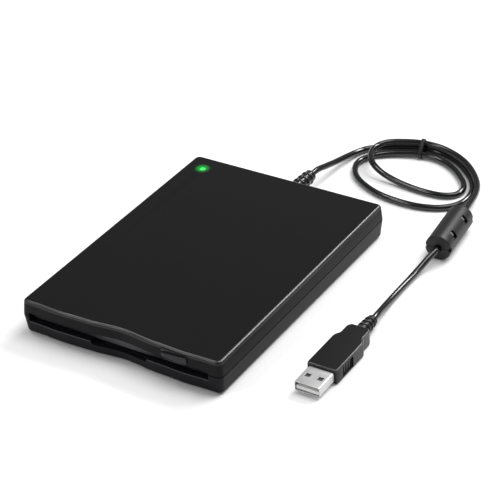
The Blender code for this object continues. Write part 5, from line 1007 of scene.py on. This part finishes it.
class FLOPPY_OT_plug(bpy.types.Operator):
    """Make the plug: moulded grip with a ribbed neck, metal can and insulator"""
    bl_idname = "floppy.plug"
    bl_label = "Plug"

    def execute(self, context):
        plug, cord = told(context).plug, told(context).cord
        front, neck = PLUG_LOW.y, PLUG_LOW.y + GRIP_LENGTH
        wide, x = GRIP_HALF, PLUG_AXIS.x
        low, high = PLUG_LOW.z, PLUG_LOW.z + GRIP_HEIGHT
        side = [(x + wide * w, front + (neck - front) * u, low) for u, w in GRIP_SHARES]
        body = prism(side + [(2 * x - a, b, c) for a, b, c in reversed(side)],
                     (0.0, 0.0, high - low))
        body.normal_update()
        round_edges(body, lambda e: rim_at(low)(e) or rim_at(high)(e), plug.edge, 5)
        grip = solid("plug_grip", body)
        tip, bore, deep = PLUG_HIGH.y, cord.diameter / 2 - BITE, 2.4 * MM
        root, foot = 2.9 * MM, neck - 2.0 * MM
        profile = ([(bore, tip - deep), (bore, tip), (2.0 * MM, tip), (2.2 * MM, tip - 0.2 * MM)]
                   + sleeve(neck, tip - 0.6 * MM, root, 2.25 * MM, 4, 0.5 * MM)
                   + [(root, foot), (0.0, foot), (0.0, tip - deep), (bore, tip - deep)])
        carve(grip, JOIN, lathe('Y', profile, PLUG_AXIS, 48))
        for sign in (-1, 1):
            cut = sorted((x + sign * (wide - POCKET_DEPTH), x + sign * (wide + OVERRUN)))
            pocket = cube((cut[0], front + POCKET_Y[0], PLUG_AXIS.z - POCKET_HALF),
                          (cut[1], front + POCKET_Y[1], PLUG_AXIS.z + POCKET_HALF))
            carve(grip, CUT, round_edges(pocket, along(0), 0.5 * MM, 3))
            cut = sorted(x + sign * (wide - depth) for depth in GROOVE_DEPTHS)
            for k in range(GROOVES):
                y = front + GROOVE_FIRST + GROOVE_PITCH * k
                carve(grip, CUT, cube((cut[0], y, PLUG_AXIS.z - GROOVE_HALF),
                                      (cut[1], y + GROOVE_WIDTH, PLUG_AXIS.z + GROOVE_HALF)))
        paint = moulding("grip_black", plug.colour, 0.33, 0.008, 0.30, 0.08, specular=0.24)
        polished_rim(paint, high, plug.edge)
        finished(grip, "case", paint, ["plug_body"], 0.10 * MM)

        can_low, can_high = Vector(SHELL_LOW), Vector(SHELL_HIGH)
        can = solid("plug_can", round_edges(cube(can_low, can_high), along(1), CAN_CORNER, 5))
        wall = CAN_WALL
        inside = cube((can_low.x + wall, can_low.y - OVERRUN, can_low.z + wall),
                      (can_high.x - wall, can_high.y + OVERRUN, can_high.z - wall))
        carve(can, CUT, round_edges(inside, along(1), 0.35 * MM, 4))
        for sign in (-1, 1):
            mid, y, span = x + sign * CAN_WINDOW_X, can_low.y + CAN_WINDOW_Y, CAN_WINDOW_HALF
            window = cube((mid - span, y - span, can_low.z - OVERRUN),
                          (mid + span, y + span, can_high.z + OVERRUN))
            carve(can, CUT, round_edges(window, along(2), 0.2 * MM, 2))
        nickel = metal("nickel_can", (0.66, 0.66, 0.66), 0.42, (1.0, 0.6, 1.0), 0.012)
        nickel.shader.inputs["Metallic"].default_value = 0.85
        finished(can, "case", nickel, ["plug_shell"], 0.06 * MM)
        tongue = cube(TONGUE_LOW, TONGUE_HIGH)
        round_edges(tongue, lambda e: any(v.co.y < TONGUE_LOW.y + EPS for v in e.verts),
                    0.2 * MM, 3)
        insulator = solid("plug_insulator", tongue)
        white = moulding("insulator_white", (0.84, 0.84, 0.83), 0.42, 0.006, 0.3, 0.02)
        finished(insulator, "case", white, ["plug_tongue"])
        return {'FINISHED'}


class FLOPPY_OT_feet_and_screws(bpy.types.Operator):
    """Make the rubber feet and the two cross-head screws under the case"""
    bl_idname = "floppy.feet_and_screws"
    bl_label = "Feet and screws"

    def execute(self, context):
        rubber = moulding("foot_rubber", (0.022, 0.022, 0.022), 0.82, 0.03, 0.25, 0.12,
                          specular=0.3)
        for name in FEET:
            x, y, radius, _, top = seat_of(name)
            rim = [(radius - FOOT_EDGE + FOOT_EDGE * math.cos(math.radians(a)),
                    FOOT_EDGE - FOOT_EDGE * math.sin(math.radians(a))) for a in range(0, 91, 15)]
            profile = [(0.0, top), (radius, top)] + rim + [(0.0, 0.0)]
            foot = solid(name.replace("foot", "pad"), lathe('Z', profile, (x, y, 0.0), 48))
            finished(foot, "case", rubber, [name])
        steel = metal("screw_nickel", (0.66, 0.66, 0.65), 0.28, tint=0.05)
        for name in ("cover_screw_left", "cover_screw_right"):
            x, y, radius, low, top = seat_of(name)
            head, shank, point, edge = low + 0.6 * MM, 1.0 * MM, 0.8 * MM, 0.15 * MM
            profile = [(0.0, top), (point, top), (shank, top - GAP), (shank, head),
                       (radius, head), (radius, low + edge), (radius - edge, low), (0.0, low)]
            screw = solid(name.replace("cover", "case"), lathe('Z', profile, (x, y, 0.0), 32))
            for u, v in ((1.1 * MM, 0.22 * MM), (0.22 * MM, 1.1 * MM)):
                carve(screw, CUT, cube((x - u, y - v, low - OVERRUN),
                                       (x + u, y + v, low + 0.4 * MM)))
            finished(screw, "case", steel, [name])
        return {'FINISHED'}


class FLOPPY_OT_mechanism(bpy.types.Operator):
    """Finish the disk mechanism, the motors and the circuit boards inside the case"""
    bl_idname = "floppy.mechanism"
    bl_label = "Mechanism"

    def execute(self, context):
        light = told(context).light
        zinc = metal("zinc_sheet", (0.50, 0.51, 0.53), 0.36, (1.0, 0.10, 1.0), 0.004)
        bright = metal("nickel_plate", (0.68, 0.68, 0.67), 0.26, (0.12, 1.0, 1.0), 0.003)
        brass = metal("turned_brass", (0.66, 0.50, 0.24), 0.30, (1.0, 1.0, 0.2))
        dress(zinc, "chassis", "eject_slide", "shutter_lever", "spindle_base", "upper_arm",
              "stepper_motor")
        dress(bright, "disk_holder", "rotor", "drive_pin", "guide_rod_left", "guide_rod_right",
              "lead_screw")
        dress(brass, "spindle_hub", "stator")
        dress(board_paint("board_lacquer"), "main_board", "usb_board")
        dress(moulding("chip_resin", (0.020, 0.020, 0.021), 0.55, 0.02, 0.2), "main_chip",
              "usb_chip", "lower_head", "upper_head")
        dress(moulding("carriage_grey", (0.15, 0.15, 0.16), 0.48, 0.015, 0.4), "head_carriage")
        dress(moulding("socket_white", (0.70, 0.69, 0.65), 0.42, 0.01, 0.4), "cord_socket")
        dress(moulding("sintered_ferrite", (0.010, 0.010, 0.011), 0.60, 0.03, 0.15, 0.2,
                       specular=0.2), "ferrite_upper", "ferrite_lower")
        path, _ = smooth_path(CORE_ROUTE, CORE_POINTS)
        finished(tube("cord_inside", path, CORE_RADIUS, 3), "case",
                 jacket_paint("core_jacket", (0.02, 0.02, 0.022)), ["cord_core"])
        dress(lens_paint("lit_chip", light.colour, light.strength), "led")
        return {'FINISHED'}


def area_light(name, spot, aim, size, power):
    """A soft rectangular lamp that faces the point aim."""
    data = bpy.data.lights.new(name, 'AREA')
    data.shape, data.size, data.size_y = 'RECTANGLE', size[0], size[1]
    data.energy = power
    lamp = bpy.data.objects.new(name, data)
    lamp.location = spot
    lamp.rotation_euler = (Vector(aim) - Vector(spot)).to_track_quat('-Z', 'Y').to_euler()
    bpy.context.scene.collection.objects.link(lamp)


# Each lamp's setting, place, aim and size
LAMPS = (("overhead", (0.30, 0.42, 1.45), (0.02, 0.03, 0.0), (0.9, 0.9)),
         ("key", (0.50, 1.12, 1.10), (0.03, 0.03, 0.0), (1.25, 0.20)),
         ("crown", (-0.62, 0.02, 1.15), (0.0, -0.04, 0.0), (0.26, 0.28)),
         ("front", (-0.56, -0.80, 0.80), (0.0, -0.05, 0.0), (0.35, 0.30)))
VIEW_PLACE = (0.410982, -0.588475, 0.474718)
VIEW_ANGLES = (33.3885, 32.5781, -3.3378)  # azimuth, elevation and roll in degrees


class FLOPPY_OT_stage(bpy.types.Operator):
    """Set the pale floor, the soft lights and the photograph's camera"""
    bl_idname = "floppy.stage"
    bl_label = "Stage"

    def execute(self, context):
        stage = told(context).stage
        bm = bmesh.new()
        bmesh.ops.create_grid(bm, x_segments=2, y_segments=2, size=4.0)
        floor = solid("floor", bm)
        paint = Paint("floor_paper", Roughness=0.9, Specular_IOR_Level=0.05,
                      Emission_Color=(1.0, 1.0, 1.0, 1.0), Emission_Strength=stage.lit_floor)
        cloud = paint.noise(3.0)
        paint.feed("Base Color", paint.mix(cloud, shade(stage.floor, 0.99),
                                           shade(stage.floor, 1.01)))
        floor.data.materials.append(paint.material)
        for name, spot, aim, size in LAMPS:
            area_light(name, spot, aim, size, getattr(stage, name))
        context.scene.view_settings.view_transform = 'Standard'
        world = bpy.data.worlds.new("studio")
        world.use_nodes = True
        sky = world.node_tree.nodes["Background"].inputs
        sky["Color"].default_value, sky["Strength"].default_value = (1.0, 1.0, 1.0, 1.0), 0.22
        context.scene.world = world

        data = bpy.data.cameras.new("camera")
        data.sensor_fit, data.sensor_width, data.lens = 'HORIZONTAL', 36.0, stage.lens
        data.clip_start, data.clip_end = 0.05, 20.0
        camera = bpy.data.objects.new("camera", data)
        azimuth, elevation, roll = (math.radians(a) for a in VIEW_ANGLES)
        turn = (Matrix.Rotation(azimuth, 4, 'Z') @ Matrix.Rotation(math.pi / 2 - elevation, 4, 'X')
                @ Matrix.Rotation(roll, 4, 'Z'))
        camera.matrix_world = Matrix.Translation(VIEW_PLACE) @ turn
        context.scene.collection.objects.link(camera)
        context.scene.camera = camera
        return {'FINISHED'}


OPERATORS = (FLOPPY_OT_stage, FLOPPY_OT_cord, FLOPPY_OT_top_shell, FLOPPY_OT_base_shell,
             FLOPPY_OT_eject_button, FLOPPY_OT_dust_door, FLOPPY_OT_indicator,
             FLOPPY_OT_strain_relief, FLOPPY_OT_wire_tie, FLOPPY_OT_choke, FLOPPY_OT_plug,
             FLOPPY_OT_cord_pieces, FLOPPY_OT_feet_and_screws, FLOPPY_OT_mechanism)


class FLOPPY_PT_panel(bpy.types.Panel):
    """Lists the drive's settings and the pieces that can be made"""
    bl_idname = "FLOPPY_PT_panel"
    bl_label = "Floppy Drive"
    bl_space_type = 'VIEW_3D'
    bl_region_type = 'UI'
    bl_category = "Floppy Drive"

    def draw(self, context):
        settings = told(context)
        for name in ("case", "light", "cord", "choke", "plug", "stage"):
            group = getattr(settings, name)
            box = self.layout.box()
            box.label(text=name.title())
            for key in group.bl_rna.properties.keys():
                if key not in ("rna_type", "name"):
                    box.prop(group, key)
        for operator in OPERATORS:
            self.layout.operator(operator.bl_idname)


CLASSES = (CaseSettings, LightSettings, CordSettings, ChokeSettings, PlugSettings, StageSettings,
           DriveSettings, *OPERATORS, FLOPPY_PT_panel)


def register():
    for item in CLASSES:
        bpy.utils.register_class(item)
    bpy.types.Scene.floppy_drive = PointerProperty(type=DriveSettings)


def unregister():
    del bpy.types.Scene.floppy_drive
    for item in reversed(CLASSES):
        bpy.utils.unregister_class(item)


def main():
    register()
    for operator in OPERATORS:
        group, name = operator.bl_idname.split(".")
        getattr(getattr(bpy.ops, group), name)()
    bpy.context.view_layer.update()


if __name__ == "__main__":
    main()
